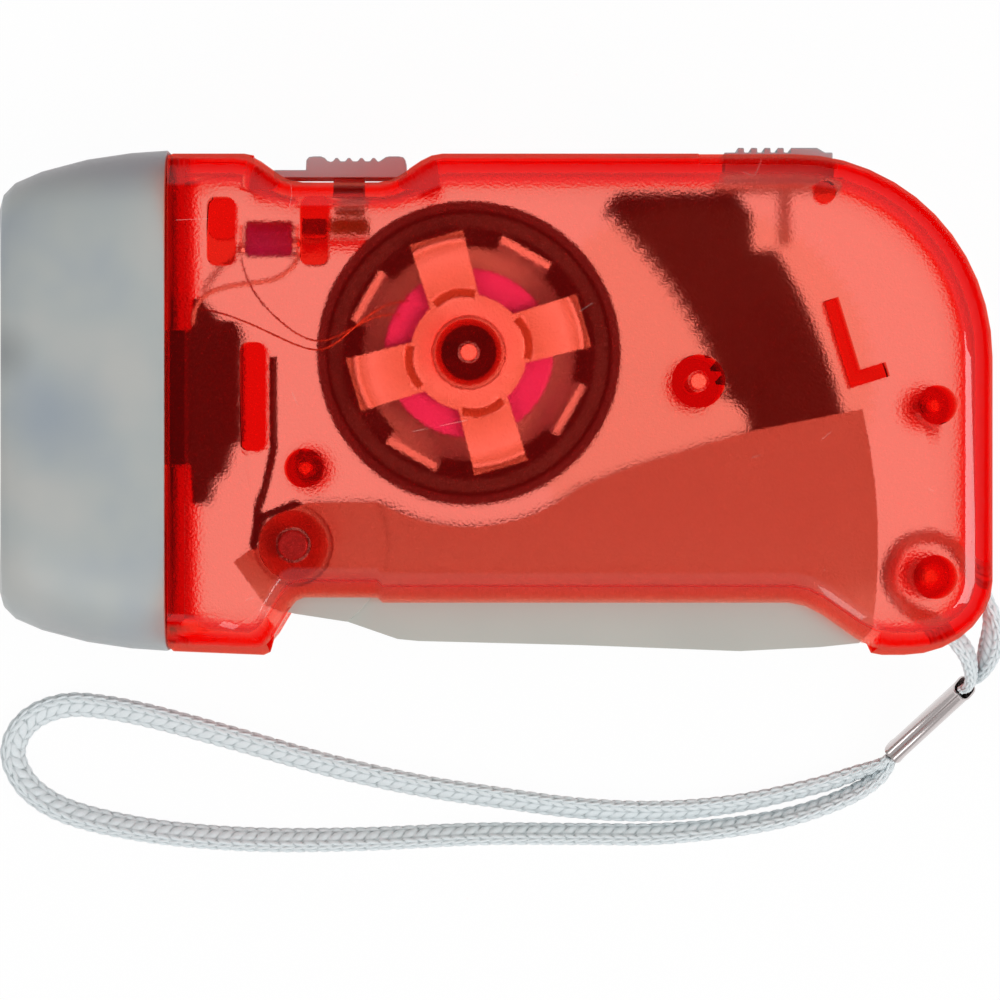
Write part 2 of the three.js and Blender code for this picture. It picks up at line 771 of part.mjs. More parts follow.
// The channel that the switch's slide plate runs in, and the slot for its stem.
function switchOpening() {
  const channel = block(
    slide_front_x - switch_travel - clearance,
    knob_rear_x + clearance,
    dip_floor_y,
    shell_top_y + overrun,
    seam_z - knob_width / 2 - clearance,
    seam_z + knob_width / 2 + clearance,
  );
  const slot = block(
    stem_middle_x - stem_length / 2 - switch_travel - clearance,
    stem_middle_x + stem_length / 2 + clearance,
    dip_floor_y - wall - overrun,
    dip_floor_y + overrun,
    seam_z - stem_width / 2 - clearance,
    seam_z + stem_width / 2 + clearance,
  );
  return channel.add(slot);
}

// Where the strap's two strands go through the wall beside the seam, on the strap's route.
const strap_crossings = [
  { inside: [46.3, -23.4, 17.6], outside: [51.6, -26.3, 17.2] },
  { inside: [50.6, -17.6, 17.6], outside: [54.6, -24.0, 17.6] },
];

function shellSkin() {
  const form = bodyForm(0, 0);
  const skin = form.subtract(bodyForm(wall, wall)).add(dipBlock(form)).add(neck());
  const window = block(
    collar_x - overrun,
    collar_x + wall + overrun,
    window_low_y,
    window_high_y,
    holder_low_z - clearance,
    holder_high_z + clearance,
  );
  const holes = strap_crossings.map(({ inside, outside }) =>
    rodBetween(inside, outside, strap_hole_radius),
  );
  return [leverSlot(), lockOpening(), switchOpening(), window, ...holes].reduce(
    (all, next) => all.subtract(next),
    skin,
  );
}

// The bent rib that the lever's end stops under.
function stopRib(top) {
  const corner_x = rear_x - stop_rib_inset;
  const corner_y = low_y + stop_rib_height;
  const leg = (length, angle, across) => {
    const end = polar(corner_x, corner_y, length, angle);
    return [
      [corner_x, corner_y],
      end,
      polar(...end, stop_rib_width, across),
      polar(corner_x, corner_y, stop_rib_width, across),
    ];
  };
  const low = left_inner_z - stop_rib_depth;
  const upright = stop_rib_angle + right_angle;
  return joined(
    prism(leg(stop_rib_long, upright, stop_rib_angle).reverse(), low, top),
    prism(leg(stop_rib_short, stop_rib_angle, upright), low, top),
  );
}

// One of the two ribs that hold the cell's tabs, with a deeper upper part.
function bracket(x, top) {
  const low_x = x - bracket_width / 2;
  const high_x = x + bracket_width / 2;
  const low = bracket_middle_y - bracket_height / 2;
  const high = bracket_middle_y + bracket_height / 2;
  const step_y = high - bracket_height * bracket_upper_share;
  return joined(
    roundedBlock(low_x, high_x, low, step_y + bracket_corner, left_inner_z - bracket_depth, top,
      bracket_corner),
    roundedBlock(low_x, high_x, step_y - bracket_corner, high,
      left_inner_z - bracket_upper_depth, top, bracket_corner),
  );
}

function leftShell(skin) {
  const top = left_inner_z + wall / 2;
  const above = block(head_front_x, rear_x + overrun, low_y - overrun, shell_top_y + overrun,
    seam_z + seam_gap / 2, overall_thickness + overrun);
  const column = ({ x, y, radius, pilot }) =>
    [
      rod(x, y, screw_hole_radius, seam_z - overrun, screw_length + clearance),
      rod(x, y, pilot, seam_z, left_inner_z - pilot_floor),
    ].reduce((all, next) => all.subtract(next), rod(x, y, radius, seam_z + seam_gap / 2, top));
  const foot = left_inner_z - clearance;
  const socket = (x, y, radius, low, bore) =>
    rod(x, y, radius, low, top).subtract(rod(x, y, bore, low - overrun, foot));
  return joined(
    skin.intersect(above),
    column(front_boss),
    column(rear_boss),
    column(strap_boss),
    socket(pivot_x, pivot_y, pivot_boss_radius, lever_high_z + 2 * clearance,
      pivot_pin_radius + pin_running_gap),
    socket(gear_x, gear_y, gear_boss_radius, wheel_high_z + clearance,
      gear_axle_radius + clearance),
    socket(rotor_x, rotor_y, generator_boss_radius, stator_high_z + clearance,
      generator_axle_radius + clearance),
    rod(locating_pin.x, locating_pin.y, locating_pin_radius,
      left_inner_z - locating_pin_length, top),
    roundedBlock(post_low_x, post_high_x, post_low_y, post_low_y + post_height,
      left_inner_z - post_depth, top, post_corner),
    stopRib(top),
    bracket(bracket_front_x, top),
    bracket(bracket_rear_x, top),
  );
}

function rightShell(skin) {
  const bottom = wall / 2;
  const below = block(head_front_x, rear_x + overrun, low_y - overrun, shell_top_y + overrun,
    -overrun, seam_z - seam_gap / 2);
  const recess_radius = screw_head_radius + clearance;
  const recess_top = wall + screw_head_height + clearance;
  const boss = (x, y, radius, high) => rod(x, y, radius, bottom, high);
  const columns = [front_boss, rear_boss, strap_boss];
  const shell = joined(
    skin.intersect(below),
    ...columns.map(({ x, y }) => boss(x, y, recess_radius + screw_head_wall, recess_top + wall)),
    ...columns.map(({ x, y, radius }) => boss(x, y, radius, seam_z - seam_gap / 2)),
    boss(pivot_x, pivot_y, pivot_boss_radius, lever_low_z - 2 * clearance),
    boss(gear_x, gear_y, gear_boss_radius, pinion_low_z - clearance),
    boss(rotor_x, rotor_y, gear_boss_radius, wheel_low_z - 2 * clearance),
  );
  const rib_top_y = plate_top_y - contact_plate_height - clearance;
  const contact_rib = block(front_contact_front_x, rear_contact_rear_x,
    rib_top_y - contact_rib_width, rib_top_y, bottom, rotor_low_z - 2 * clearance);
  const foot = wall - clearance;
  const cuts = [
    ...columns.map(({ x, y }) => rod(x, y, recess_radius, -overrun, recess_top)),
    ...columns.map(({ x, y }) => rod(x, y, screw_hole_radius, -overrun, seam_z)),
    rod(pivot_x, pivot_y, pivot_pin_radius + pin_running_gap, foot, lever_low_z),
    rod(gear_x, gear_y, gear_axle_radius + clearance, foot, lever_high_z),
    rod(rotor_x, rotor_y, generator_axle_radius + clearance, foot, lever_high_z),
  ];
  return cuts.reduce((all, next) => all.subtract(next), shell.add(contact_rib));
}

// Lever and sector

// The lower edge of the lever from its tip to its nose, as shares of the lever's reach and of the
// depth from the pivot to the lowest line.
const grip_shares = [
  [0.967, 0.873],
  [0.9, 0.909],
  [0.763, 0.945],
  [0.489, 0.891],
  [0.214, 0.855],
  [0.178, 0.837],
  [0.093, 0.684],
  [0.002, 0.611],
  [-0.047, 0.544],
];
// The upper edge from the flywheel's clearance to the tip, in shares of the same sizes.
const cheek_shares = [
  [0.49, -0.515],
  [0.582, -0.701],
  [0.782, -1.013],
];
const nose_shares = [
  [-0.102, 0.152],
  [-0.076, 0.045],
];
const cut_radius = rotor_radius + lever_rotor_gap;
const cut_from = -121 * degree;
const cut_to = -55 * degree;
const hub_from = 186 * degree;
const hub_to = 100 * degree;
const shoulder_shares = [0.0258, -0.3775];

const onLever = ([x, y]) => [
  pivot_x + x * lever_end_radius,
  pivot_y - y * pivot_height,
];

// Where the lever's end, an arc round the pivot, reaches a height above the lowest line.
const onLeverEnd = (height, radius) => Math.asin((low_y + height - pivot_y) / radius);

function leverOutline() {
  const end_top = onLeverEnd(lever_end_top_height, lever_end_radius);
  const end_low = onLeverEnd(lever_end_low_height, lever_end_radius);
  return [
    ...arc(pivot_x, pivot_y, hub_radius, hub_radius, hub_from, hub_to, 5),
    onLever(shoulder_shares),
    ...arc(rotor_x, rotor_y, cut_radius, cut_radius, cut_from, cut_to, 10),
    ...cheek_shares.map(onLever),
    ...arc(pivot_x, pivot_y, lever_end_radius, lever_end_radius, end_top, end_low, 6),
    ...grip_shares.map(onLever),
    ...nose_shares.map(onLever),
  ];
}

// The room between the cheeks, above the web.
function leverHollow() {
  const beyond = lever_end_radius * 2;
  const floor = grip_shares.map(onLever).map(([x, y]) => [x, y + web_thickness]);
  const end_low = onLeverEnd(lever_end_low_height, lever_end_radius);
  const [tip_x, tip_y] = polar(pivot_x, pivot_y, lever_end_radius, end_low);
  const points = [
    [pivot_x - beyond, pivot_y + beyond],
    [pivot_x + beyond, pivot_y + beyond],
    [pivot_x + beyond, tip_y + web_thickness],
    [tip_x, tip_y + web_thickness],
    ...floor,
    [pivot_x - beyond, floor.at(-1)[1]],
  ];
  return prism(points, lower_cheek_top_z, upper_cheek_z);
}

const sector_screws = [2 * degree, 9 * degree].map((angle) =>
  polar(pivot_x, pivot_y, (sector_foot_inner_radius + sector_outer_radius) / 2, angle),
);

function lever() {
  const outline = leverOutline();
  const pad = ring(pivot_x, pivot_y, pivot_boss_radius + clearance * 2, pad_radius,
    lever_high_z - pad_height, lever_high_z + pad_height);
  const body = prism(outline, lever_low_z, lever_high_z)
    .subtract(leverHollow())
    .add(rod(pivot_x, pivot_y, barrel_radius, lever_low_z, lever_high_z))
    .add(pad.intersect(prism(outline, lever_high_z - pad_height, lever_high_z + 2 * pad_height)));
  const bore = rod(pivot_x, pivot_y, pivot_pin_radius + pin_running_gap, -overrun,
    overall_thickness + overrun);
  const holes = sector_screws.map(([x, y]) =>
    rod(x, y, screw_hole_radius, lever_low_z - overrun, sector_low_z, 12));
  return [bore, ...holes].reduce((all, next) => all.subtract(next), body);
}

// The inside teeth of the sector from its top end to its foot.
function sectorTeeth() {
  const first_angle = gear_axle_angle - sector_teeth_before / sector_radius;
  const last_angle = Math.asin((shell_top_y - sector_teeth_top_drop - pivot_y) / sector_radius);
  const pitch = (2 * half_turn) / sector_teeth_in_full_circle;
  const tip = sector_radius - addendum_share * gear_module;
  const root = sector_radius + dedendum_share * gear_module;
  const last = Math.floor((last_angle - gear_axle_angle) / pitch);
  const first = Math.ceil((first_angle - gear_axle_angle) / pitch);
  const points = [];
  for (let tooth = last; tooth >= first; tooth--) {
    const middle = gear_axle_angle + (tooth + 1 / 2) * pitch;
    const flank = [];
    for (let i = 0; i <= flank_steps; i++) {
      const radius = root + ((tip - root) * i) / flank_steps;
      const space = halfAngle(sector_teeth_in_full_circle, radius, backlash / 2);
      flank.push([radius, pitch / 2 - space]);
    }
    flank.forEach(([radius, half]) => points.push(polar(pivot_x, pivot_y, radius, middle + half)));
    flank.reverse().forEach(([radius, half]) =>
      points.push(polar(pivot_x, pivot_y, radius, middle - half)));
  }
  return points;
}

const sector_tip_length = 1.45; // from the last tooth to the top edge's front end
const sector_tip_corner = 0.35;

function sector() {
  const top_angle = Math.asin((sector_top_y - pivot_y) / sector_outer_radius);
  const foot_low = onLeverEnd(sector_foot_height, sector_outer_radius);
  const foot_top = onLeverEnd(sector_foot_top_height, sector_foot_inner_radius);
  const teeth = sectorTeeth();
  const [tip_x, tip_y] = teeth[0];
  const outline = [
    ...arc(pivot_x, pivot_y, sector_outer_radius, sector_outer_radius, foot_low, top_angle, 9),
    [tip_x + sector_tip_length, sector_top_y],
    [tip_x + sector_tip_corner, (tip_y + sector_top_y) / 2],
    ...teeth,
    ...arc(pivot_x, pivot_y, sector_foot_inner_radius, sector_foot_inner_radius, foot_top,
      onLeverEnd(sector_foot_height, sector_foot_inner_radius), 4),
  ];
  const catch_step = block(lock_stem_x - lock_travel - catch_gap, rear_x,
    lock_stem_end_y - catch_step_height, shell_top_y, sector_low_z - overrun,
    sector_high_z + overrun);
  const holes = sector_screws.map(([x, y]) =>
    rod(x, y, screw_hole_radius, sector_low_z - overrun, sector_high_z - clearance * 2, 12));
  return [catch_step, ...holes].reduce(
    (all, next) => all.subtract(next),
    prism(outline, sector_low_z, sector_high_z),
  );
}

function sectorScrew([x, y]) {
  const head_top = lever_low_z - clearance;
  return rod(x, y, screw_head_radius, head_top - clearance * 2, head_top, 12).add(
    rod(x, y, screw_radius, head_top - clearance, sector_high_z - clearance * 3, 10));
}

// Gear train

function driveGear() {
  const wheel_outline = gearOutline(gear_x, gear_y, wheel_teeth, generator_angle,
    wheel_flank_steps);
  const wheel = prism(wheel_outline, wheel_low_z, wheel_high_z);
  const pinion = prism(gearOutline(gear_x, gear_y, pinion_teeth, gear_axle_angle), pinion_low_z,
    wheel_high_z - wheel_thickness / 2);
  const dish = ring(gear_x, gear_y, wheel_radius / 4, wheel_radius - 4 * gear_module,
    wheel_high_z - wheel_thickness * (1 - wheel_web_share), wheel_high_z + overrun, 40);
  return joined(wheel, pinion)
    .subtract(dish)
    .subtract(rod(gear_x, gear_y, gear_axle_radius + clearance, pinion_low_z - overrun,
      wheel_high_z + overrun, 12));
}

function rotorPinion() {
  const half_pitch = half_turn / rotor_pinion_teeth;
  const phase = generator_angle + half_turn + half_pitch;
  const teeth = gearOutline(rotor_x, rotor_y, rotor_pinion_teeth, phase);
  const low = wheel_low_z - gear_gap;
  const collar_low = wheel_high_z + gear_gap;
  const collar = rotor_pinion_radius + 2 * gear_module;
  return prism(teeth, low, collar_low + gear_gap)
    .add(rod(rotor_x, rotor_y, collar, collar_low + gear_gap, rotor_low_z - clearance, 24))
    .subtract(rod(rotor_x, rotor_y, generator_axle_radius + clearance, low - overrun,
      rotor_low_z + overrun, 12));
}

function flywheel() {
  const bore = generator_axle_radius + clearance;
  const inner = rotor_radius - rotor_wall;
  const rim_z = rotor_low_z + rotor_height;
  return turned(rotor_x, rotor_y, [
    [bore, rotor_low_z],
    [rotor_radius, rotor_low_z],
    [rotor_radius, rim_z],
    [inner, rim_z],
    [inner, rotor_disc_top_z],
    [bore, rotor_disc_top_z],
  ]);
}

function ringMagnet() {
  const low = rotor_disc_top_z + clearance;
  return ring(rotor_x, rotor_y, magnet_inner_radius, rotor_radius - rotor_wall - clearance, low,
    low + magnet_height);
}

// Stator

function yoke(first_angle, claw_width, plate_low_z, claw_low_z) {
  const hub = rod(rotor_x, rotor_y, yoke_hub_radius, plate_low_z, plate_low_z + yoke_thickness, 24);
  const half = claw_width / 2;
  const inner_half = half * yoke_arm_taper_share;
  const arm = [[0, -inner_half], [claw_reach, -half], [claw_reach, half], [0, inner_half]];
  const claw = [
    [claw_reach - yoke_thickness, -half],
    [claw_reach, -half],
    [claw_reach, half],
    [claw_reach - yoke_thickness, half],
  ];
  const turnedTo = (points, angle) =>
    points.map(([x, y]) => [
      rotor_x + x * Math.cos(angle) - y * Math.sin(angle),
      rotor_y + x * Math.sin(angle) + y * Math.cos(angle),
    ]);
  const arms = [];
  for (let i = 0; i < yoke_arms; i++) {
    const angle = first_angle + (2 * half_turn * i) / yoke_arms;
    arms.push(prism(turnedTo(arm, angle), plate_low_z, plate_low_z + yoke_thickness));
    arms.push(prism(turnedTo(claw, angle), claw_low_z, claw_low_z + claw_length));
  }
  return joined(hub, ...arms).subtract(
    rod(rotor_x, rotor_y, generator_axle_radius + clearance, plate_low_z - overrun,
      plate_low_z + yoke_thickness + overrun, 12));
}

const bobbin_low_z = stator_low_z + yoke_thickness + clearance;
const upper_yoke_z = stator_high_z - yoke_thickness;

function bobbin() {
  const bore = generator_axle_radius + clearance;
  return turned(rotor_x, rotor_y, [
    [bore, bobbin_low_z],
    [bobbin_radius, bobbin_low_z],
    [bobbin_radius, bobbin_low_z + bobbin_flange],
    [bobbin_core_radius, bobbin_low_z + bobbin_flange],
    [bobbin_core_radius, upper_yoke_z - clearance],
    [bore, upper_yoke_z - clearance],
  ], 40);
}

function coil() {
  const low = bobbin_low_z + bobbin_flange + clearance;
  const inner = bobbin_core_radius + clearance;
  return ring(rotor_x, rotor_y, inner, coil_radius, low, low + coil_height, 40);
}

// Head

// How far out the head's skin is at shares of its length, as shares of its rear half sizes.
const head_profile_shares = [
  [0, 1, 1],
  [0.217, 0.99, 0.992],
  [0.477, 0.964, 0.963],
  [0.744, 0.917, 0.907],
  [0.9, 0.872, 0.851],
  [0.963, 0.83, 0.79],
  [1, 0.756, 0.695],
];
const head_opening_shares = [0.715, 0.64];
const head_room_end_share = 0.93; // of the head's length, before the lens's seat
const head_skin_length = head_length - head_gap;
const led_places_shares = [-1, 0, 1];

function headRing([along, height, thickness], inset) {
  return crossRing(
    collar_x - head_gap - along * head_skin_length,
    height * head_rear_half_height - inset,
    thickness * head_rear_half_thickness - inset,
  );
}

// The front rim's ring: it falls back towards the flat sides and waves past the lamps.
function frontRing(x, half_height, half_thickness) {
  return crossRing(x, half_height, half_thickness).map(([ring_x, y, z]) => {
    const from_seam = Math.abs(z - seam_z) / half_thickness;
    const side = Math.max(0, from_seam - front_flat_share) / (1 - front_flat_share);
    const wave = Math.cos((half_turn * (y - head_middle_y)) / led_pitch);
    return [ring_x + side * side * (front_bow + front_wave * wave), y, z];
  });
}

const seat_row = head_profile_shares[5];
const seat_half_height = seat_row[1] * head_rear_half_height - head_wall;
const seat_half_thickness = seat_row[2] * head_rear_half_thickness - head_wall;
const lens_half_height = seat_half_height - clearance;
const lens_half_thickness = seat_half_thickness - clearance;
const reflector_half_height = lens_half_height - clearance;
const reflector_half_thickness = lens_half_thickness - clearance;
const cup_radius = (reflector_half_height - reflector_edge - cup_gap) / 3;
const led_pitch = 2 * cup_radius + cup_gap;
const opening_half_height = head_opening_shares[0] * head_rear_half_height;
const opening_half_thickness = head_opening_shares[1] * head_rear_half_thickness;
const lip_back_x = head_front_x + head_lip;

function headBezel() {
  const rows = head_profile_shares.slice(0, -1).map((row) => headRing(row, 0));
  const [, rim_height_share, rim_thickness_share] = head_profile_shares.at(-1);
  const rim = frontRing(head_front_x, rim_height_share * head_rear_half_height,
    rim_thickness_share * head_rear_half_thickness);
  const outside = loft([...rows, rim]);
  const room_rows = head_profile_shares.filter(([along]) => along < head_room_end_share);
  const room = loft([
    crossRing(collar_x + overrun, head_rear_half_height - head_wall,
      head_rear_half_thickness - head_wall),
    ...room_rows.map((row) => headRing(row, head_wall)),
    crossRing(lip_back_x, seat_half_height, seat_half_thickness),
  ]);
  const opening = loft([
    crossRing(lip_back_x + overrun, opening_half_height, opening_half_thickness),
    crossRing(head_front_x - overrun, opening_half_height, opening_half_thickness),
  ]);
  return outside.subtract(room).subtract(opening);
}

const lens_front_x = lip_back_x + clearance;

function lens() {
  const plate = loft([
    crossRing(lens_front_x, lens_half_height, lens_half_thickness),
    crossRing(lens_front_x + lens_thickness, lens_half_height, lens_half_thickness),
  ]);
  const window_half_height = opening_half_height - clearance;
  const window_half_thickness = opening_half_thickness - clearance;
  const window = loft([
    frontRing(head_front_x + head_lip / 3, window_half_height, window_half_thickness),
    crossRing(lens_front_x + clearance, window_half_height, window_half_thickness),
  ]);
  return plate.add(window);
}

// A turned piece along X, from [radius, place] pairs.
function turnedAlongX(y, z, profile, sides) {
  const points = [...profile, profile[0]].map(([r, x]) => new THREE.Vector2(r, x));
  const geometry = new THREE.LatheGeometry(points, sides);
  return solid(geometry.rotateZ(-right_angle).translate(0, y, z));
}

const reflector_front_x = lens_front_x + lens_thickness + clearance;
const board_front_x = collar_x - board_back_room - board_thickness;
const reflector_back_x = board_front_x - clearance;
const reflector_length = reflector_back_x - reflector_front_x;
const led_length = reflector_length - led_front_room;
const led_places = led_places_shares.map((share) => head_middle_y + share * led_pitch);
const reflector_back_share = 0.93;

function reflector() {
  const body = loft([
    crossRing(reflector_front_x, reflector_half_height, reflector_half_thickness),
    crossRing(reflector_back_x, reflector_half_height * reflector_back_share,
      reflector_half_thickness * reflector_back_share),
  ]);
  const throat = led_flange_radius + clearance;
  const steps = 5;
  const cup = [[0, reflector_back_x + overrun], [throat, reflector_back_x + overrun]];
  for (let i = 0; i <= steps; i++) {
    const t = i / steps;
    const radius = throat + (cup_radius - throat) * Math.sqrt(t);
    cup.push([radius, reflector_back_x - reflector_length * t]);
  }
  cup.push([cup_radius, reflector_front_x - overrun], [0, reflector_front_x - overrun]);
  return led_places.reduce(
    (all, y) => all.subtract(turnedAlongX(y, seam_z, cup, 20)),
    body,
  );
}

function led(y) {
  const base = board_front_x - clearance;
  const shoulder = base - led_flange_height;
  const dome = base - led_length + led_radius;
  const profile = [
    [0, base],
    [led_flange_radius, base],
    [led_flange_radius, shoulder],
    [led_radius, shoulder],
    [led_radius, dome],
    [led_radius * Math.cos(right_angle / 3), dome - led_radius * Math.sin(right_angle / 3)],
    [led_radius * Math.cos((2 * right_angle) / 3), dome - led_radius * Math.sin((2 * right_angle) / 3)],
    [0, dome - led_radius],
  ];
  return turnedAlongX(y, seam_z, profile, 16);
}

const board_half_height = neck_half_height - neck_wall - board_edge_room;
const board_half_thickness = neck_half_thickness - neck_wall - board_edge_room;

function ledBoard() {
  return block(board_front_x, board_front_x + board_thickness,
    head_middle_y - board_half_height, head_middle_y + board_half_height,
    seam_z - board_half_thickness, seam_z + board_half_thickness);
}

function rectifierBlock() {
  const front = board_front_x + board_thickness + clearance;
  const middle_y = head_middle_y + board_half_height - rectifier_inset;
  return block(front, front + rectifier_height, middle_y - rectifier_width / 2,
    middle_y + rectifier_width / 2, seam_z - rectifier_length / 2, seam_z + rectifier_length / 2);
}

// The holder's outline behind the collar, in shares of the distance to the post and of the
// window's height above and below its middle.
const holder_step_shares = [
  [0.05, -1.54],
  [0.3, -1.5],
  [0.4, -1.2],
  [0.66, -1.06],
  [0.8, -0.7],
  [1, -0.61],
  [1, 0.95],
  [0.9, 1.1],
  [0.56, 1.1],
  [0.2, 1.42],
  [0.05, 1.42],
];
const holder_back_x = collar_x + head_gap + wall + clearance;

function lampHolder() {
  const front = board_front_x + board_thickness + clearance;
  const frame_back = front + holder_frame_depth;
  const frame_half_height = board_half_height - holder_frame_step;
  const low = window_low_y + clearance;
  const high = window_high_y - clearance;
  const middle = (low + high) / 2;
  const half = (window_high_y - window_low_y) / 2;
  const reach = post_low_x - clearance - holder_back_x;
  const steps = holder_step_shares.map(([x, y]) => [holder_back_x + x * reach, middle + y * half]);
  const outline = [
    [front, head_middle_y - frame_half_height],
    [frame_back, head_middle_y - frame_half_height],
    [frame_back, low],
    [holder_back_x, low],
    ...steps,
    [holder_back_x, high],
    [frame_back, high],
    [frame_back, head_middle_y + frame_half_height],
    [front, head_middle_y + frame_half_height],
  ];
  return prism(outline, holder_low_z, holder_high_z);
}

// Cell

const cell_middle_x = (bracket_front_x + bracket_rear_x) / 2;
const cell_room = bracket_spacing - bracket_width;
const cell_middle_y = bracket_middle_y - cell_drop;
const cell_z = left_inner_z - cell_depth;
const tab_half = cell_radius * tab_height_share;

function cell() {
  const half = cell_room / 2 - tab_thickness - 2 * clearance;
  return turnedAlongX(cell_middle_y, cell_z, [
    [0, cell_middle_x - half],
    [cell_radius, cell_middle_x - half],
    [cell_radius, cell_middle_x + half],
    [0, cell_middle_x + half],
  ], 20);
}

function cellTab(side) {
  const outer = cell_middle_x + side * (cell_room / 2 - clearance);
  const inner = outer - side * tab_thickness;
  return block(Math.min(outer, inner), Math.max(outer, inner), cell_middle_y - tab_half,
    cell_middle_y + tab_half, cell_z - tab_half, cell_z + tab_half);
}

// Pins, axles and screws

function shellScrew({ x, y }) {
  const head_low = wall;
  const head_high = head_low + screw_head_height;
  const drive_depth = screw_head_height / 2;
  const slot = screw_radius / 3;
  const cross = block(x - screw_radius, x + screw_radius, y - slot, y + slot, head_low - overrun,
    head_low + drive_depth).add(block(x - slot, x + slot, y - screw_radius, y + screw_radius,
    head_low - overrun, head_low + drive_depth));
  return rod(x, y, screw_head_radius, head_low, head_high, 16)
    .add(rod(x, y, screw_radius, head_high - clearance, screw_length, 12))
    .subtract(cross);
}

// Return spring: one wire from the leg at the post, round the lever's barrel, to the leg on the web.

const spring_top_z = upper_cheek_z - clearance * 2 - wire_radius;
// The legs' points as shares of the spring's radius, from the pivot.
const post_leg_shares = [
  [-0.5057, 4.6],
  [-0.5057, 3.393],
  [-0.4989, 2.3586],
  [-0.6713, 1.531],
  [-0.8667, 0.8414],
];
const web_leg_shares = [
  [0.846, -1.078],
  [1.3747, -1.2506],
  [2.0184, -1.5149],
];
const onSpring = ([x, y]) => [pivot_x + x * spring_radius, pivot_y + y * spring_radius];

function springRoute() {
  const steps = 8;
  const points = post_leg_shares.map((place) => [...onSpring(place), spring_top_z]);
  const from = half_turn;
  const to = from + 2 * half_turn * (spring_turns + 1 / 4);
  const count = Math.round(steps * (spring_turns + 1 / 4));
  for (let i = 0; i <= count; i++) {
    const turn = from + ((to - from) * i) / count;
    const drop = (spring_pitch * (turn - from)) / (2 * half_turn);
    points.push([...polar(pivot_x, pivot_y, spring_radius, turn), spring_top_z - drop]);
  }
  const low = points.at(-1)[2];
  return [...points, ...web_leg_shares.map((place) => [...onSpring(place), low])];
}

// A round wire along its route, with one ring at each point.
function wire(route, radius, sides) {
  const points = route.map((p) => new THREE.Vector3(...p));
  const rings = [];
  let side = new THREE.Vector3(0, 0, 1);
  points.forEach((point, i) => {
    const before = points[Math.max(0, i - 1)];
    const after = points[Math.min(points.length - 1, i + 1)];
    const ahead = after.clone().sub(before).normalize();
    side = side.clone().addScaledVector(ahead, -side.dot(ahead)).normalize();
    const across = new THREE.Vector3().crossVectors(ahead, side);
    const ring_of_points = [];
    for (let k = 0; k < sides; k++) {
      const turn = (2 * half_turn * k) / sides;
      const spot = point
        .clone()
        .addScaledVector(side, radius * Math.cos(turn))
        .addScaledVector(across, radius * Math.sin(turn));
      ring_of_points.push(spot.toArray());
    }
    rings.push(ring_of_points);
  });
  return loft(rings);
}

// The least gap between parts of a wire that lie further apart along it than a half turn.
function leastGap(route, radius, apart) {
  const samples = 400;
  const places = route.map((p) => new THREE.Vector3(...p));
  const dense = new THREE.CatmullRomCurve3(places, false, "centripetal");
  const points = dense.getSpacedPoints(samples);
  const step = dense.getLength() / samples;
  let least = Infinity;
  points.forEach((a, i) => {
    for (let j = i + Math.ceil(apart / step); j < points.length; j++)
      least = Math.min(least, a.distanceTo(points[j]) - 2 * radius);
  });
  return least;
}

// Switch

// The knob's top line from front to rear, in shares of its length and of its height above the
// slide plate: a hump at each end.
const front_hump_shares = [
  [0, 0],
  [0.004, 0.72],
  [0.03, 0.95],
  [0.08, 1],
  [0.15, 1],
  [0.19, 0.88],
  [0.215, 0.68],
  [0.245, 0.6],
];
const rear_hump_shares = [
  [0.73, 0.62],
  [0.765, 0.78],
  [0.8, 0.95],
  [0.835, 1],
  [0.93, 1],
  [0.975, 0.93],
  [0.996, 0.7],
  [1, 0],
];
const rib_middle_shares = [0.308, 0.431, 0.555, 0.678];
// One rib, from its middle, in the same shares.
const rib_shares = [
  [-0.038, 0.64],
  [-0.014, 0.86],
  [0, 0.9],
  [0.014, 0.86],
  [0.038, 0.64],
];

function switchKnob() {
  const low_z = seam_z - knob_width / 2;
  const high_z = seam_z + knob_width / 2;
  const ribs = rib_middle_shares.flatMap((middle) =>
    rib_shares.map(([along, height]) => [middle + along, height]));
  const top = [...front_hump_shares, ...ribs, ...rear_hump_shares].map(([along, height]) => [
    knob_front_x + along * knob_length,
    slide_top_y + height * (knob_top_y - slide_top_y),
  ]);
  const outline = [
    [slide_front_x, slide_top_y],
    [slide_front_x, slide_low_y],
    [knob_rear_x, slide_low_y],
    ...top.reverse(),
  ];
  return joined(
    prism(outline, low_z, high_z),
    block(stem_middle_x - stem_length / 2, stem_middle_x + stem_length / 2,
      switch_plate_top_y - switch_plate_thickness / 2, slide_low_y + slide_thickness / 2,
      seam_z - stem_width / 2, seam_z + stem_width / 2),
    block(stem_middle_x - stem_length / 2, stem_middle_x + stem_length / 2,
      switch_plate_top_y - switch_plate_thickness, switch_plate_top_y, low_z, high_z),
  );
}

const contact_top_y = switch_plate_top_y - switch_plate_thickness - clearance;
const plate_top_y = contact_top_y - contact_thickness - clearance;

const contact_half = stem_length / 2 + contact_overlap;
const rear_contact_front_x = stem_middle_x - contact_half;
const rear_contact_rear_x = stem_middle_x + contact_half;
const front_contact_rear_x = rear_contact_front_x - clearance;
const front_contact_front_x = front_contact_rear_x - front_contact_length;

function contact(low_x, high_x, high_y, height) {
  return block(low_x, high_x, high_y - height, high_y, seam_z - contact_width / 2,
    seam_z + contact_width / 2);
}

// Lock slider

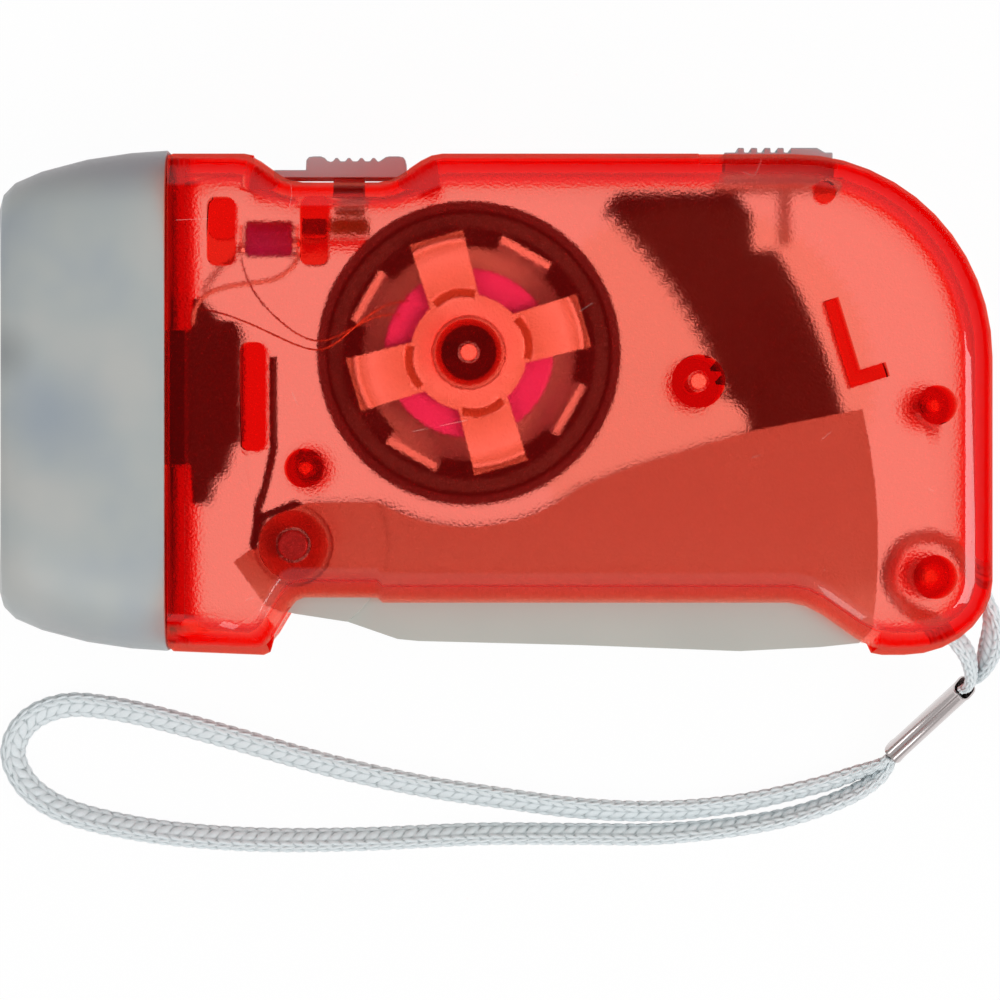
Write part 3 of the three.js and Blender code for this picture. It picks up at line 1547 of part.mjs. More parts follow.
function lockSlider() {
  const low_z = seam_z - lock_width / 2;
  const high_z = seam_z + lock_width / 2;
  const top = overall_height / 2;
  const body_top = top - lock_rib_height;
  const flange_top = shell_top_y - wall - side_draft - 2 * clearance;
  const flange_low = flange_top - lock_flange_thickness;
  const ribs = [];
  for (let i = 0; i < lock_ribs; i++) {
    const x = lock_front_x + lock_rib_pitch * (i + 1);
    ribs.push(block(x, x + lock_rib_width, body_top - clearance, top, low_z, high_z));
  }
  const hump_x = lock_front_x + lock_rib_pitch * (lock_ribs + 1);
  const stem_x = lock_stem_x + lock_stem_width;
  return joined(
    block(lock_front_x, lock_rear_x, flange_low, body_top, low_z, high_z),
    ...ribs,
    prism([[hump_x, body_top - clearance], [hump_x, top], [hump_x + lock_rib_pitch * 2, top],
      [lock_rear_x - clearance, body_top - clearance]], low_z, high_z),
    block(lock_front_x - overrun, lock_rear_x + overrun, flange_low, flange_top,
      low_z - overrun, high_z + overrun),
    block(lock_stem_x, stem_x, wheel_clear_y, flange_low + clearance,
      sector_low_z + clearance, seam_z),
    block(lock_stem_x, stem_x, lock_stem_end_y, wheel_clear_y + clearance, sector_low_z + clearance,
      sector_high_z - clearance),
  );
}

const wheel_clear_y = gear_y + wheel_radius + gear_module;

// Wires and strap

const coil_top_z = bobbin_low_z + bobbin_flange + clearance + coil_height;
const lead_room = left_inner_z - coil_top_z;

// A lead from one place to another. The points between are shares of the straight way, along it
// and to its left as seen from above, and of the room above the coil, up from it.
function leadRoute(from, to, shares) {
  const [dx, dy, dz] = to.map((end, i) => end - from[i]);
  const between = shares.map(([along, left, up]) => [
    from[0] + along * dx - left * dy,
    from[1] + along * dy + left * dx,
    from[2] + along * dz + up * lead_room,
  ]);
  return [from, ...between, to];
}

const onCoil = (angle) => [
  ...polar(rotor_x, rotor_y, coil_radius * lead_root_share, angle),
  coil_top_z + clearance + lead_radius,
];
const underTab = (side) => [
  cell_middle_x + side * (cell_room / 2 - clearance - tab_thickness / 2),
  cell_middle_y - tab_half - clearance - lead_radius,
  cell_z,
];
const onHolder = (back, rise) => [
  holder_back_x + back,
  window_high_y + rise,
  holder_high_z + clearance + lead_radius,
];
const first_lead_shares = [
  [0.116, 0.026, 0.418],
  [0.258, 0.208, 0.649],
  [0.401, 0.354, 0.759],
  [0.712, 0.264, 0.88],
  [0.913, 0.134, 0.612],
];
const second_lead_shares = [
  [0.126, -0.006, 0.567],
  [0.328, 0.184, 0.835],
  [0.457, 0.251, 0.889],
  [0.751, 0.067, 0.92],
  [0.973, -0.01, 0.657],
];
const cell_wire_shares = [
  [0.16, 0.096, 0.12],
  [0.422, -0.032, 0.08],
  [0.743, -0.18, 0],
  [0.933, -0.12, 0.12],
];
const switch_wire_shares = [
  [0.274, -0.147, -0.099],
  [0.595, -0.135, -0.244],
  [0.863, -0.086, -0.11],
];

const ferrule_half_width = 1.15;
const ferrule_half_height = 2.2;
const ferrule_power_share = 0.5;
// The ferrule's ends, on the strap's route.
const ferrule_ends = { top: [50.82, -30.92, 8.6], bottom: [43.63, -37.96, 2.6] };

function strapFerrule() {
  const top = new THREE.Vector3(...ferrule_ends.top);
  const bottom = new THREE.Vector3(...ferrule_ends.bottom);
  const ahead = top.clone().sub(bottom).normalize();
  const across = new THREE.Vector3(-ahead.y, ahead.x, 0).normalize();
  const up = new THREE.Vector3().crossVectors(ahead, across);
  const sides = 16;
  const section = (middle) => {
    const points = [];
    for (let i = 0; i < sides; i++) {
      const turn = (2 * half_turn * (i + 1 / 2)) / sides;
      const c = Math.cos(turn);
      const s = Math.sin(turn);
      const out = Math.sign(c) * Math.abs(c) ** ferrule_power_share;
      const rise = Math.sign(s) * Math.abs(s) ** ferrule_power_share;
      points.push(middle.clone()
        .addScaledVector(across, ferrule_half_width * out)
        .addScaledVector(up, ferrule_half_height * rise)
        .toArray());
    }
    return points;
  };
  return loft([section(bottom), section(top)]);
}

// The strap's routes, laid on the table and through the shells' corner.
const wrist_loop = [
  [43.07, -38.51, 3.29],
  [42, -39.35, 2.65],
  [39.56, -40.31, 1.6],
  [34.84, -41.85, 1.1],
  [26.18, -43.77, 1.1],
  [17.52, -44.59, 1.1],
  [8.86, -44.26, 1.1],
  [0.1, -43.11, 1.1],
  [-8.45, -41.79, 1.1],
  [-18.1, -39.66, 1.1],
  [-29.06, -36.59, 1.1],
  [-38.0, -34.2, 1.1],
  [-43.75, -33.12, 1.1],
  [-47.26, -33.02, 1.1],
  [-50.33, -34.01, 1.1],
  [-52.3, -35.79, 1.1],
  [-53.07, -38.12, 1.1],
  [-52.41, -40.42, 1.1],
  [-50.65, -42.62, 1.1],
  [-47.26, -44.59, 1.1],
  [-41.7, -46.1, 1.1],
  [-34.76, -47.16, 1.1],
  [-25.5, -47.75, 1.1],
  [-14.48, -47.66, 1.1],
  [-1.88, -47.11, 1.1],
  [8.86, -47.11, 1.1],
  [17.52, -47.11, 1.1],
  [26.18, -46.29, 1.1],
  [33, -44.95, 1.1],
  [38.68, -42.84, 1.1],
  [41.9, -40.75, 1.1],
  [43.2, -38.75, 1.2],
  [43.83, -37.77, 1.59],
];
const neck_loop = [
  [50.6, -31.13, 9.7],
  [51.21, -30.53, 10.21],
  [51.4, -29.5, 11.8],
  [51.1, -28.1, 14],
  [50.4, -26.7, 16],
  [48.9, -24.95, 17.3],
  [46.6, -23.45, 17.6],
  [44.39, -22.32, 17.6],
  [42.55, -20.4, 17.6],
  [42.25, -17.75, 17.6],
  [43.65, -15.4, 17.6],
  [46.1, -14.45, 17.6],
  [48.5, -14.95, 17.6],
  [50.1, -16.8, 17.6],
  [51.6, -19.2, 17.6],
  [52.95, -21.75, 17.3],
  [53.5, -24.4, 16],
  [53.2, -26.9, 13.2],
  [52.5, -28.8, 10.1],
  [51.78, -29.8, 8.32],
  [51.41, -30.35, 7.81],
];

// Assembly

const skin = shellSkin();
add("left_shell", leftShell(skin), red);
add("right_shell", rightShell(skin), red);
add("head_bezel", headBezel(), grey_plastic);
add("lens", lens(), clear_plastic);
add("reflector", reflector(), chromed_plastic);
led_places.forEach((y, i) => add(`led_${i + 1}`, led(y), clear_plastic));
add("led_board", ledBoard(), board_green);
add("rectifier", rectifierBlock(), black_plastic);
add("lamp_holder", lampHolder(), black_plastic);
add("cell_stack", cell(), purple_sleeve);
add("cell_tab_front", cellTab(-1), steel);
add("cell_tab_rear", cellTab(1), steel);
add("lever", lever(), grey_plastic);
add("sector_gear", sector(), black_plastic);
sector_screws.forEach((place, i) => add(`sector_screw_${i + 1}`, sectorScrew(place), steel));
add("pivot_pin", rod(pivot_x, pivot_y, pivot_pin_radius, wall, left_inner_z - 2 * clearance),
  steel);
add("drive_gear", driveGear(), white_plastic);
add("gear_axle", rod(gear_x, gear_y, gear_axle_radius, wall, left_inner_z - 2 * clearance, 14),
  steel);
add("flywheel_pinion", rotorPinion(), white_plastic);
add("flywheel", flywheel(), black_plastic);
add("ring_magnet", ringMagnet(), ferrite);
add("stator_yoke_lower", yoke(lower_yoke_angle, lower_claw_width, stator_low_z, stator_low_z), steel);
add("coil_bobbin", bobbin(), white_plastic);
add("coil", coil(), coil_tape);
add("stator_yoke_upper", yoke(yoke_arm_angle, yoke_arm_width, upper_yoke_z,
  stator_high_z - claw_length), steel);
add("generator_axle", rod(rotor_x, rotor_y, generator_axle_radius, wall,
  left_inner_z - 2 * clearance, 14), steel);
const spring_route = springRoute();
add("return_spring", wire(spring_route, wire_radius, 5), spring_steel);
const spring_gap = leastGap(spring_route, wire_radius, half_turn * spring_radius);
console.log("return_spring least gap " + spring_gap.toFixed(2) + " mm");
add("switch_knob", switchKnob(), mauve_grey_plastic);
add("switch_contact", contact(stem_middle_x - stem_length / 2, stem_middle_x + stem_length / 2,
  contact_top_y, contact_thickness), brass);
add("contact_plate_front", contact(front_contact_front_x, front_contact_rear_x, plate_top_y,
  contact_plate_height), brass);
add("contact_plate_rear", contact(rear_contact_front_x, rear_contact_rear_x, plate_top_y,
  contact_plate_height), brass);
add("lock_slider", lockSlider(), mauve_grey_plastic);
add("front_screw", shellScrew(front_boss), steel);
add("rear_screw", shellScrew(rear_boss), steel);
add("strap_screw", shellScrew(strap_boss), steel);
const first_lead = leadRoute(onCoil(first_lead_angle), underTab(-1), first_lead_shares);
const second_lead = leadRoute(onCoil(second_lead_angle),
  onHolder(holder_lead_back, holder_lead_rise), second_lead_shares);
const cell_wire = leadRoute(underTab(1), onHolder(cell_wire_back, cell_wire_rise),
  cell_wire_shares);
const switch_wire = leadRoute(
  [
    front_contact_front_x - clearance - lead_radius,
    plate_top_y - contact_plate_height / 2,
    seam_z,
  ],
  [holder_back_x + switch_wire_back, window_high_y + switch_wire_rise, seam_z - switch_wire_drop],
  switch_wire_shares,
);
add("first_coil_lead", tube(first_lead, lead_radius, 6, 20), wire_cover);
add("second_coil_lead", tube(second_lead, lead_radius, 6, 20), wire_cover);
add("cell_wire", tube(cell_wire, lead_radius, 6, 16), wire_cover);
add("switch_wire", tube(switch_wire, lead_radius, 6, 12), wire_cover);
add("strap_ferrule", strapFerrule(), steel);
add("strap_loop", tube(wrist_loop, cord_radius, 8, 60), braid);
add("strap_neck", tube(neck_loop, cord_radius, 8, 32), braid);

export default torch;
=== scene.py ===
# %% [markdown]
# # A hand-squeeze dynamo torch in a clear red shell
#
# The torch lies on its side on a white table and is seen from straight above. Its shells are clear,
# so the lever, gears, flywheel and coil show through them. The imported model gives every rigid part
# at its real size. This lesson gives those parts their finish, and adds what a solid can't show:
# the braid of the wrist strap, thin wires, solder and the light.

# %% Load the fixed frame
import json
import math

import bmesh
import bpy
from mathutils import Matrix, Vector, noise


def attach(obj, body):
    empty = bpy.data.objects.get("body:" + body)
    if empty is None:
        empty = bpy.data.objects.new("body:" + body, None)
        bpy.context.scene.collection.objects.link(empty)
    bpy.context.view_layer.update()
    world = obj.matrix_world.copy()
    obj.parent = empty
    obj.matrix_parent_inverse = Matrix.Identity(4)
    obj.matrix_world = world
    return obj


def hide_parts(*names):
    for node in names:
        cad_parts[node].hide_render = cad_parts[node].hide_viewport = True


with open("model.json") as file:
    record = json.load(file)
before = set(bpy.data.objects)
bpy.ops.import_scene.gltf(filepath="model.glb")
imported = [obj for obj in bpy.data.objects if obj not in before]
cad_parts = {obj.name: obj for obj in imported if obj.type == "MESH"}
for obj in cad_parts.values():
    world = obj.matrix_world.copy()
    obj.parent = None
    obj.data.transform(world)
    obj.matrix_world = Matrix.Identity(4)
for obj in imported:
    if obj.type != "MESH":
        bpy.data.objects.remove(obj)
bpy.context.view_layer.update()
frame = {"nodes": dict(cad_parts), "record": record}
nodes = frame["nodes"]
MM = 0.001
SEAM_Z = 18 * MM

# %% [markdown]
# ## The camera
#
# The photograph looks straight down from about 0.9 m with a long lens. At 31 mm above the table the
# picture is 106 mm wide, which sets the lens.

# %% Camera
CAMERA_HEIGHT = 0.9
VIEW_WIDTH = 0.106
VIEW_LEVEL = 0.031
VIEW_CENTRE = (0.315 * MM, -10.5 * MM)
SENSOR_WIDTH_MM = 36


def aim_camera():
    data = bpy.data.cameras.new("camera")
    data.sensor_width = SENSOR_WIDTH_MM
    data.lens = data.sensor_width * (CAMERA_HEIGHT - VIEW_LEVEL) / VIEW_WIDTH
    data.clip_start = 0.01
    camera = bpy.data.objects.new("camera", data)
    camera.location = (*VIEW_CENTRE, CAMERA_HEIGHT)
    bpy.context.scene.collection.objects.link(camera)
    bpy.context.scene.camera = camera
    return camera


camera = aim_camera()
print("lens", round(camera.data.lens, 1))

# %% [markdown]
# ## Small helpers
#
# Colours are written as the sRGB hex values that one reads off a colour chart, and one function
# turns them to the linear values that the shaders use. One more function adds a node.

# %% Colour and node helpers


def linear(hex_colour):
    """An sRGB colour such as "a0a5a5" as linear red, green, blue and an alpha of 1."""
    values = [int(hex_colour[i : i + 2], 16) / 255 for i in (0, 2, 4)]
    return (*(v / 12.92 if v <= 0.04045 else ((v + 0.055) / 1.055) ** 2.4 for v in values), 1.0)


def add_node(tree, kind, inputs=None, **settings):
    """Adds one node. An input is a value, or another node's output socket."""
    node = tree.nodes.new(kind)
    for name, value in settings.items():
        setattr(node, name, value)
    for name, value in (inputs or {}).items():
        socket = node.inputs[name]
        if isinstance(value, bpy.types.NodeSocket):
            tree.links.new(value, socket)
        else:
            socket.default_value = value
    return node


def new_material(name):
    """An empty material and its node tree."""
    material = bpy.data.materials.new(name)
    material.use_nodes = True
    material.node_tree.nodes.clear()
    return material, material.node_tree


def finish_material(material, surface, volume=None):
    tree = material.node_tree
    output = add_node(tree, "ShaderNodeOutputMaterial", {"Surface": surface})
    if volume is not None:
        tree.links.new(volume, output.inputs["Volume"])
    print("material", material.name)
    return material


# %% [markdown]
# The next helpers each add one kind of node and hand back its result, so that a material below
# reads as a list of what lies on the surface.

# %% One helper for each kind of node


def value_of(tree, operation, *terms):
    """A sum, product or other calculation with one to three terms."""
    node = add_node(tree, "ShaderNodeMath", dict(enumerate(terms)), operation=operation)
    return node.outputs["Value"]


def vector_of(tree, operation, *terms, result="Vector"):
    """A calculation with vectors. A length, distance or dot product is its Value."""
    node = add_node(tree, "ShaderNodeVectorMath", dict(enumerate(terms)), operation=operation)
    return node.outputs[result]


def place_on_object(tree):
    return add_node(tree, "ShaderNodeTexCoord").outputs["Object"]


def axis_of(tree, vector, axis):
    return add_node(tree, "ShaderNodeSeparateXYZ", {"Vector": vector}).outputs[axis]


def ranged(tree, value, start, end, low=0.0, high=1.0, easing="LINEAR"):
    """Maps a value between start and end to one between low and high, and holds it there."""
    node = add_node(
        tree, "ShaderNodeMapRange",
        {"Value": value, "From Min": start, "From Max": end, "To Min": low, "To Max": high},
        interpolation_type=easing,
    )
    return node.outputs["Result"]


def ramp(tree, value, stops):
    """Turns a value into a colour. The stops are (position, hex colour) from low to high."""
    node = add_node(tree, "ShaderNodeValToRGB", {"Fac": value})
    elements = node.color_ramp.elements
    while len(elements) < len(stops):
        elements.new(1.0)
    for element, (position, colour) in zip(elements, stops):
        element.position = position
        element.color = linear(colour)
    return node.outputs["Color"]


def mixed(tree, share, first, second, blend="MIX"):
    """Mixes two colours, each a hex colour or a socket."""
    first, second = (linear(c) if isinstance(c, str) else c for c in (first, second))
    inputs = {"Fac": share, "Color1": first, "Color2": second}
    node = add_node(tree, "ShaderNodeMixRGB", inputs, blend_type=blend)
    return node.outputs["Color"]


def per_mm(size):
    """The scale of a texture whose features are about this many millimetres."""
    return 1 / (size * MM)


def speckle(tree, place, size_mm, detail):
    """Cloudy noise with features of this size."""
    node = add_node(
        tree, "ShaderNodeTexNoise", {"Vector": place, "Scale": per_mm(size_mm), "Detail": detail}
    )
    return node.outputs["Fac"]


def cell_distance(tree, place, size_mm, feature):
    """The distance to a cell's point or edge, in random cells of this size."""
    node = add_node(
        tree, "ShaderNodeTexVoronoi", {"Vector": place, "Scale": per_mm(size_mm)}, feature=feature
    )
    return node.outputs["Distance"]


def relief(tree, height, strength, depth_mm, under=None):
    """A bumpy normal, which may lie on top of another."""
    inputs = {"Height": height, "Strength": strength, "Distance": depth_mm * MM}
    if under is not None:
        inputs["Normal"] = under
    return add_node(tree, "ShaderNodeBump", inputs).outputs["Normal"]


def shader(tree, kind, inputs):
    return add_node(tree, kind, inputs).outputs["BSDF"]


def layered(tree, share, under, over):
    """Covers a share of one shader with another."""
    return add_node(tree, "ShaderNodeMixShader", {0: share, 1: under, 2: over}).outputs["Shader"]


# %% [markdown]
# A piece made here is linked to the scene and rides one body of the torch.
# Where it stands for a solid, that solid is hidden.


def finish_mesh(bm, name, material=None):
    """A smooth-shaded mesh of what the bmesh operators made."""
    mesh = bpy.data.meshes.new(name)
    bm.to_mesh(mesh)
    bm.free()
    mesh.shade_smooth()
    if material is not None:
        mesh.materials.append(material)
    return mesh


def link_object(name, data):
    piece = bpy.data.objects.new(name, data)
    bpy.context.scene.collection.objects.link(piece)
    return piece


def stand_in(data, node, body="housing"):
    """A piece that takes the place of a solid."""
    piece = link_object(data.name, data)
    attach(piece, body)
    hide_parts(node)
    return piece


# %% [markdown]
# ## The wrist strap
#
# The strap is a flat plait of polyester yarn, 3 mm wide and 1.6 mm thick. It could be a tube with a
# bump map, but its edge shows against the white table, so the plaits are real relief: a fine grid
# is wrapped round the route, and its points sink into the creases between the yarns. The strap goes
# round a post inside the shells' corner, and a steel ferrule crimps both ends together.

# %% The strap's routes, as the solids have them
WRIST_LOOP = [
    (0.04307, -0.03851, 0.00329),
    (0.04200, -0.03935, 0.00265),
    (0.03956, -0.04031, 0.00160),
    (0.03484, -0.04185, 0.00110),
    (0.02618, -0.04377, 0.00110),
    (0.01752, -0.04459, 0.00110),
    (0.00886, -0.04426, 0.00110),
    (0.00010, -0.04311, 0.00110),
    (-0.00845, -0.04179, 0.00110),
    (-0.01810, -0.03966, 0.00110),
    (-0.02906, -0.03659, 0.00110),
    (-0.03800, -0.03420, 0.00110),
    (-0.04375, -0.03312, 0.00110),
    (-0.04726, -0.03302, 0.00110),
    (-0.05033, -0.03401, 0.00110),
    (-0.05230, -0.03579, 0.00110),
    (-0.05307, -0.03812, 0.00110),
    (-0.05241, -0.04042, 0.00110),
    (-0.05065, -0.04262, 0.00110),
    (-0.04726, -0.04459, 0.00110),
    (-0.04170, -0.04610, 0.00110),
    (-0.03476, -0.04716, 0.00110),
    (-0.02550, -0.04775, 0.00110),
    (-0.01448, -0.04766, 0.00110),
    (-0.00188, -0.04711, 0.00110),
    (0.00886, -0.04711, 0.00110),
    (0.01752, -0.04711, 0.00110),
    (0.02618, -0.04629, 0.00110),
    (0.03300, -0.04495, 0.00110),
    (0.03868, -0.04284, 0.00110),
    (0.04190, -0.04075, 0.00110),
    (0.04320, -0.03875, 0.00120),
    (0.04383, -0.03777, 0.00159),
]
NECK_LOOP = [
    (0.05060, -0.03113, 0.00970),
    (0.05121, -0.03053, 0.01021),
    (0.05140, -0.02950, 0.01180),
    (0.05110, -0.02810, 0.01400),
    (0.05040, -0.02670, 0.01600),
    (0.04890, -0.02495, 0.01730),
    (0.04660, -0.02345, 0.01760),
    (0.04439, -0.02232, 0.01760),
    (0.04255, -0.02040, 0.01760),
    (0.04225, -0.01775, 0.01760),
    (0.04365, -0.01540, 0.01760),
    (0.04610, -0.01445, 0.01760),
    (0.04850, -0.01495, 0.01760),
    (0.05010, -0.01680, 0.01760),
    (0.05160, -0.01920, 0.01760),
    (0.05295, -0.02175, 0.01730),
    (0.05350, -0.02440, 0.01600),
    (0.05320, -0.02690, 0.01320),
    (0.05250, -0.02880, 0.01010),
    (0.05178, -0.02980, 0.00832),
    (0.05141, -0.03035, 0.00781),
]
STRAP_WIDTH = 3.0 * MM
STRAP_THICKNESS = 1.6 * MM
print("route points", len(WRIST_LOOP), len(NECK_LOOP))

# %% [markdown]
# The grid's rows follow a smooth curve through the route's points, and its columns go round the
# strap. The yarns lean one way in one column and the other way in the next.

# %% The plait
STEPS_BETWEEN_POINTS = 12
PLAIT_COLUMNS = 10  # columns of yarn round the strap
PLAIT_PITCH = 1.35 * MM  # from one yarn to the next along the strap
PLAIT_SLANT = 0.8  # how far a yarn leans along the strap, in pitches
PLAIT_RELIEF = 0.34 * MM
YARN_FALL = 0.8  # how far a yarn falls away towards its column's edges
ROUNDNESS = 0.75  # the power that makes the strap's section a rounded rectangle
POINTS_ROUND = 40  # points round the strap
SEAM_REACH = 0.005 * MM  # the grid's two long edges are joined where they meet
END_REACH = 3 * MM  # an open rim this near to an end belongs to it
CRIMP_SQUEEZE = 0.35  # how much thinner the ferrule presses the strap
CRIMP_REACH = 2.5 * MM


def smooth_route(points, steps):
    """Evenly spaced points of one smooth curve through the route, and its length."""
    dense = []
    padded = [Vector(p) for p in (points[0], *points, points[-1])]
    for i in range(len(points) - 1):
        a, b, c, d = padded[i : i + 4]
        for k in range(STEPS_BETWEEN_POINTS):
            t = k / STEPS_BETWEEN_POINTS
            dense.append(
                0.5
                * (
                    2 * b
                    + (c - a) * t
                    + (2 * a - 5 * b + 4 * c - d) * t * t
                    + (3 * b - a - 3 * c + d) * t**3
                )
            )
    dense.append(padded[-1])
    reach = [0.0]
    for a, b in zip(dense, dense[1:]):
        reach.append(reach[-1] + (b - a).length)
    even = []
    at = 0
    for i in range(steps + 1):
        want = reach[-1] * i / steps
        while at + 2 < len(reach) and reach[at + 1] < want:
            at += 1
        share = (want - reach[at]) / max(reach[at + 1] - reach[at], 1e-12)
        even.append(dense[at].lerp(dense[at + 1], min(1, share)))
    return even, reach[-1]


def yarn_height(around, along):
    """How far the plait stands out, from 0 in a crease to 1 on the crown of a yarn."""
    column = around * PLAIT_COLUMNS
    across = column - math.floor(column)
    lean = across if math.floor(column) % 2 else 1 - across
    phase = along / PLAIT_PITCH + lean * PLAIT_SLANT
    phase -= math.floor(phase)
    ridge = math.sqrt(max(0, 1 - (2 * phase - 1) ** 2))
    dome = math.sqrt(max(0, 1 - YARN_FALL * (2 * across - 1) ** 2))
    return ridge * dome


def tilt_at(tilts, share):
    """The strap's roll at a share of its length, in degrees, from a list of (share, roll)."""
    for (a, low), (b, high) in zip(tilts, tilts[1:]):
        if a <= share <= b:
            t = (share - a) / (b - a)
            return low + (high - low) * t * t * (3 - 2 * t)
    return tilts[-1][1]


def plaited_strap(name, route, tilts, rows, floor=None):
    """A flat plait along a route. A grid is rolled round the route's own frame at each row."""
    line, length = smooth_route(route, rows)
    bm = bmesh.new()
    bmesh.ops.create_grid(bm, x_segments=rows, y_segments=POINTS_ROUND, size=0.5)
    crease = bm.verts.layers.float.new("crease")
    uv = bm.loops.layers.uv.new("plait")
    half_width = STRAP_WIDTH / 2
    places = {vert: (vert.co.x + 0.5, vert.co.y + 0.5) for vert in bm.verts}
    for face in bm.faces:
        for loop in face.loops:
            along, around = places[loop.vert]
            loop[uv].uv = (around, along * length / MM)
    for vert, (along, around) in places.items():
        row = min(rows, round(along * rows))
        from_end = min(along, 1 - along) * length
        squeeze = CRIMP_SQUEEZE * math.exp(-from_end / CRIMP_REACH)
        half_thickness = STRAP_THICKNESS / 2 * (1 - squeeze)
        ahead = (line[min(rows, row + 1)] - line[max(0, row - 1)]).normalized()
        side = ahead.cross(Vector((0, 0, 1))).normalized()
        roll = Matrix.Rotation(math.radians(tilt_at(tilts, along)), 3, ahead)
        across = roll @ side
        up = roll @ side.cross(ahead)
        turn = around * math.tau
        c, s = math.cos(turn), math.sin(turn)
        flat = math.copysign(abs(c) ** ROUNDNESS, c) * half_width
        rise = math.copysign(abs(s) ** ROUNDNESS, s) * half_thickness
        height = yarn_height(around, along * length)
        sink = PLAIT_RELIEF * (height - 1)
        outward = (across * c / half_width + up * s / half_thickness).normalized()
        centre = line[row].copy()
        if floor is not None:
            reach = math.hypot(half_width * across.z, half_thickness * up.z)
            centre.z = max(centre.z, floor + reach)
        vert.co = centre + across * flat + up * rise + outward * sink
        vert[crease] = height
    bmesh.ops.remove_doubles(bm, verts=bm.verts, dist=SEAM_REACH)
    for end in (0, rows):
        rim = [
            edge for edge in bm.edges
            if edge.is_boundary and (edge.verts[0].co - line[end]).length < END_REACH
        ]
        bmesh.ops.holes_fill(bm, edges=rim, sides=0)
    bmesh.ops.recalc_face_normals(bm, faces=bm.faces)
    piece = link_object(name, finish_mesh(bm, name))
    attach(piece, "housing")
    print(name, "length", round(length, 4), "faces", len(piece.data.polygons))
    return piece, line, length


# %% [markdown]
# The loop lies on the table. Where its two runs meet at the ferrule they lean on edge, and round
# the far bend the plait lies flatter, so the roll is given at a few shares of the length.

# %% Both straps
LOOP_TILTS = [
    (0, -80), (0.04, -70), (0.16, -50), (0.4, -38), (0.5, -30), (0.62, -38), (0.84, -50),
    (0.96, -66), (1, -80),
]
NECK_TILTS = [(0, 80), (0.2, 60), (0.45, 90), (0.7, 90), (0.85, 40), (1, 80)]
TABLE_GAP = 0.06 * MM
strap_loop, loop_line, loop_length = plaited_strap(
    "wrist_strap_loop", WRIST_LOOP, LOOP_TILTS, rows=1000, floor=TABLE_GAP
)
strap_neck, neck_line, neck_length = plaited_strap(
    "wrist_strap_neck", NECK_LOOP, NECK_TILTS, rows=260
)
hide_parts("strap_loop")
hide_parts("strap_neck")

# %% [markdown]
# Polyester yarn is a bundle of bright fibres. It gets a soft sheen, painted shade in the creases
# between the yarns from the relief's own attribute, and fine fibre lines along each yarn.

# %% Polyester braid


def polyester_braid():
    material, tree = new_material("polyester_braid")
    place = place_on_object(tree)
    crease = add_node(tree, "ShaderNodeAttribute", attribute_name="crease").outputs["Fac"]
    # painted shade: darker in the creases between the yarns, lighter on their crowns
    shade = ramp(tree, crease, [(0.12, "a9b2b5"), (0.62, "eef3f5")])
    fibres = speckle(tree, place, size_mm=0.16, detail=3.0)
    surface = shader(tree, "ShaderNodeBsdfPrincipled", {
        "Base Color": mixed(tree, fibres, shade, "e8edee", blend="MULTIPLY"),
        "Roughness": 0.55,
        "Sheen Weight": 0.4,
        "Sheen Roughness": 0.4,
        "Normal": relief(tree, fibres, strength=0.5, depth_mm=0.08),
    })
    return finish_material(material, surface)


braid = polyester_braid()
for piece in (strap_loop, strap_neck):
    piece.data.materials.append(braid)

# %% [markdown]
# ## Rounded parts from the solids
#
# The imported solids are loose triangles, so they can't be shaded smooth. A copy of a solid is merged
# first. Its flat faces stay flat and its round ones are shaded smooth, and a narrow bevel gives the
# edges the small radius that every moulded part has, which catches the light.

# %% Copies with smooth shading
MERGE_REACH = 0.002 * MM
FLAT_ENOUGH = math.radians(0.3)  # triangles that meet at less than this are one flat face


def moulded(node, material, edge=0.0, angle=32.0):
    """A merged, smooth-shaded copy of a solid. Creases over the angle are sharp or bevelled."""
    bm = bmesh.new()
    bm.from_mesh(nodes[node].data)
    bmesh.ops.remove_doubles(bm, verts=bm.verts, dist=MERGE_REACH)
    bmesh.ops.dissolve_limit(bm, angle_limit=FLAT_ENOUGH, verts=bm.verts, edges=bm.edges)
    mesh = finish_mesh(bm, node + "_moulding", material)
    mesh.set_sharp_from_angle(angle=math.radians(angle))
    bodies = frame["record"]["behaviour"]["bodies"]
    piece = stand_in(mesh, node, next(body for body in bodies if node in bodies[body]))
    if edge:
        bevel = piece.modifiers.new("edge", "BEVEL")
        bevel.width = edge
        bevel.segments = 2
        bevel.limit_method = "ANGLE"
        bevel.angle_limit = math.radians(angle)
    weights = piece.modifiers.new("flat_faces_stay_flat", "WEIGHTED_NORMAL")
    weights.keep_sharp = True
    weights.weight = 100
    return piece


# %% [markdown]
# ## The clear red shells
#
# The shells are moulded in transparent red styrene. Its colour is in its depth: one wall lets white
# through as salmon, while a boss seen end on is deep red. So the colour is absorption inside the
# plastic, and its faces add what absorption can't:
#
# - The outside was polished and has a sharp gloss. The inside was left satin by a sparked mould, so
#   what lies deep in the torch looks soft while what touches the wall is sharp.
# - A wall seen edge on would break up into dark reflections, so steep faces only tint what is
#   behind them.
# - The dye scatters a little red light at each face, and the rim, which gathers light along the
#   whole wall, gives back more.
# - Lamp light reaches the parts inside, so the surface lets shadow rays through with a tint.
# - Lint and hairline scratches lie on the outside.

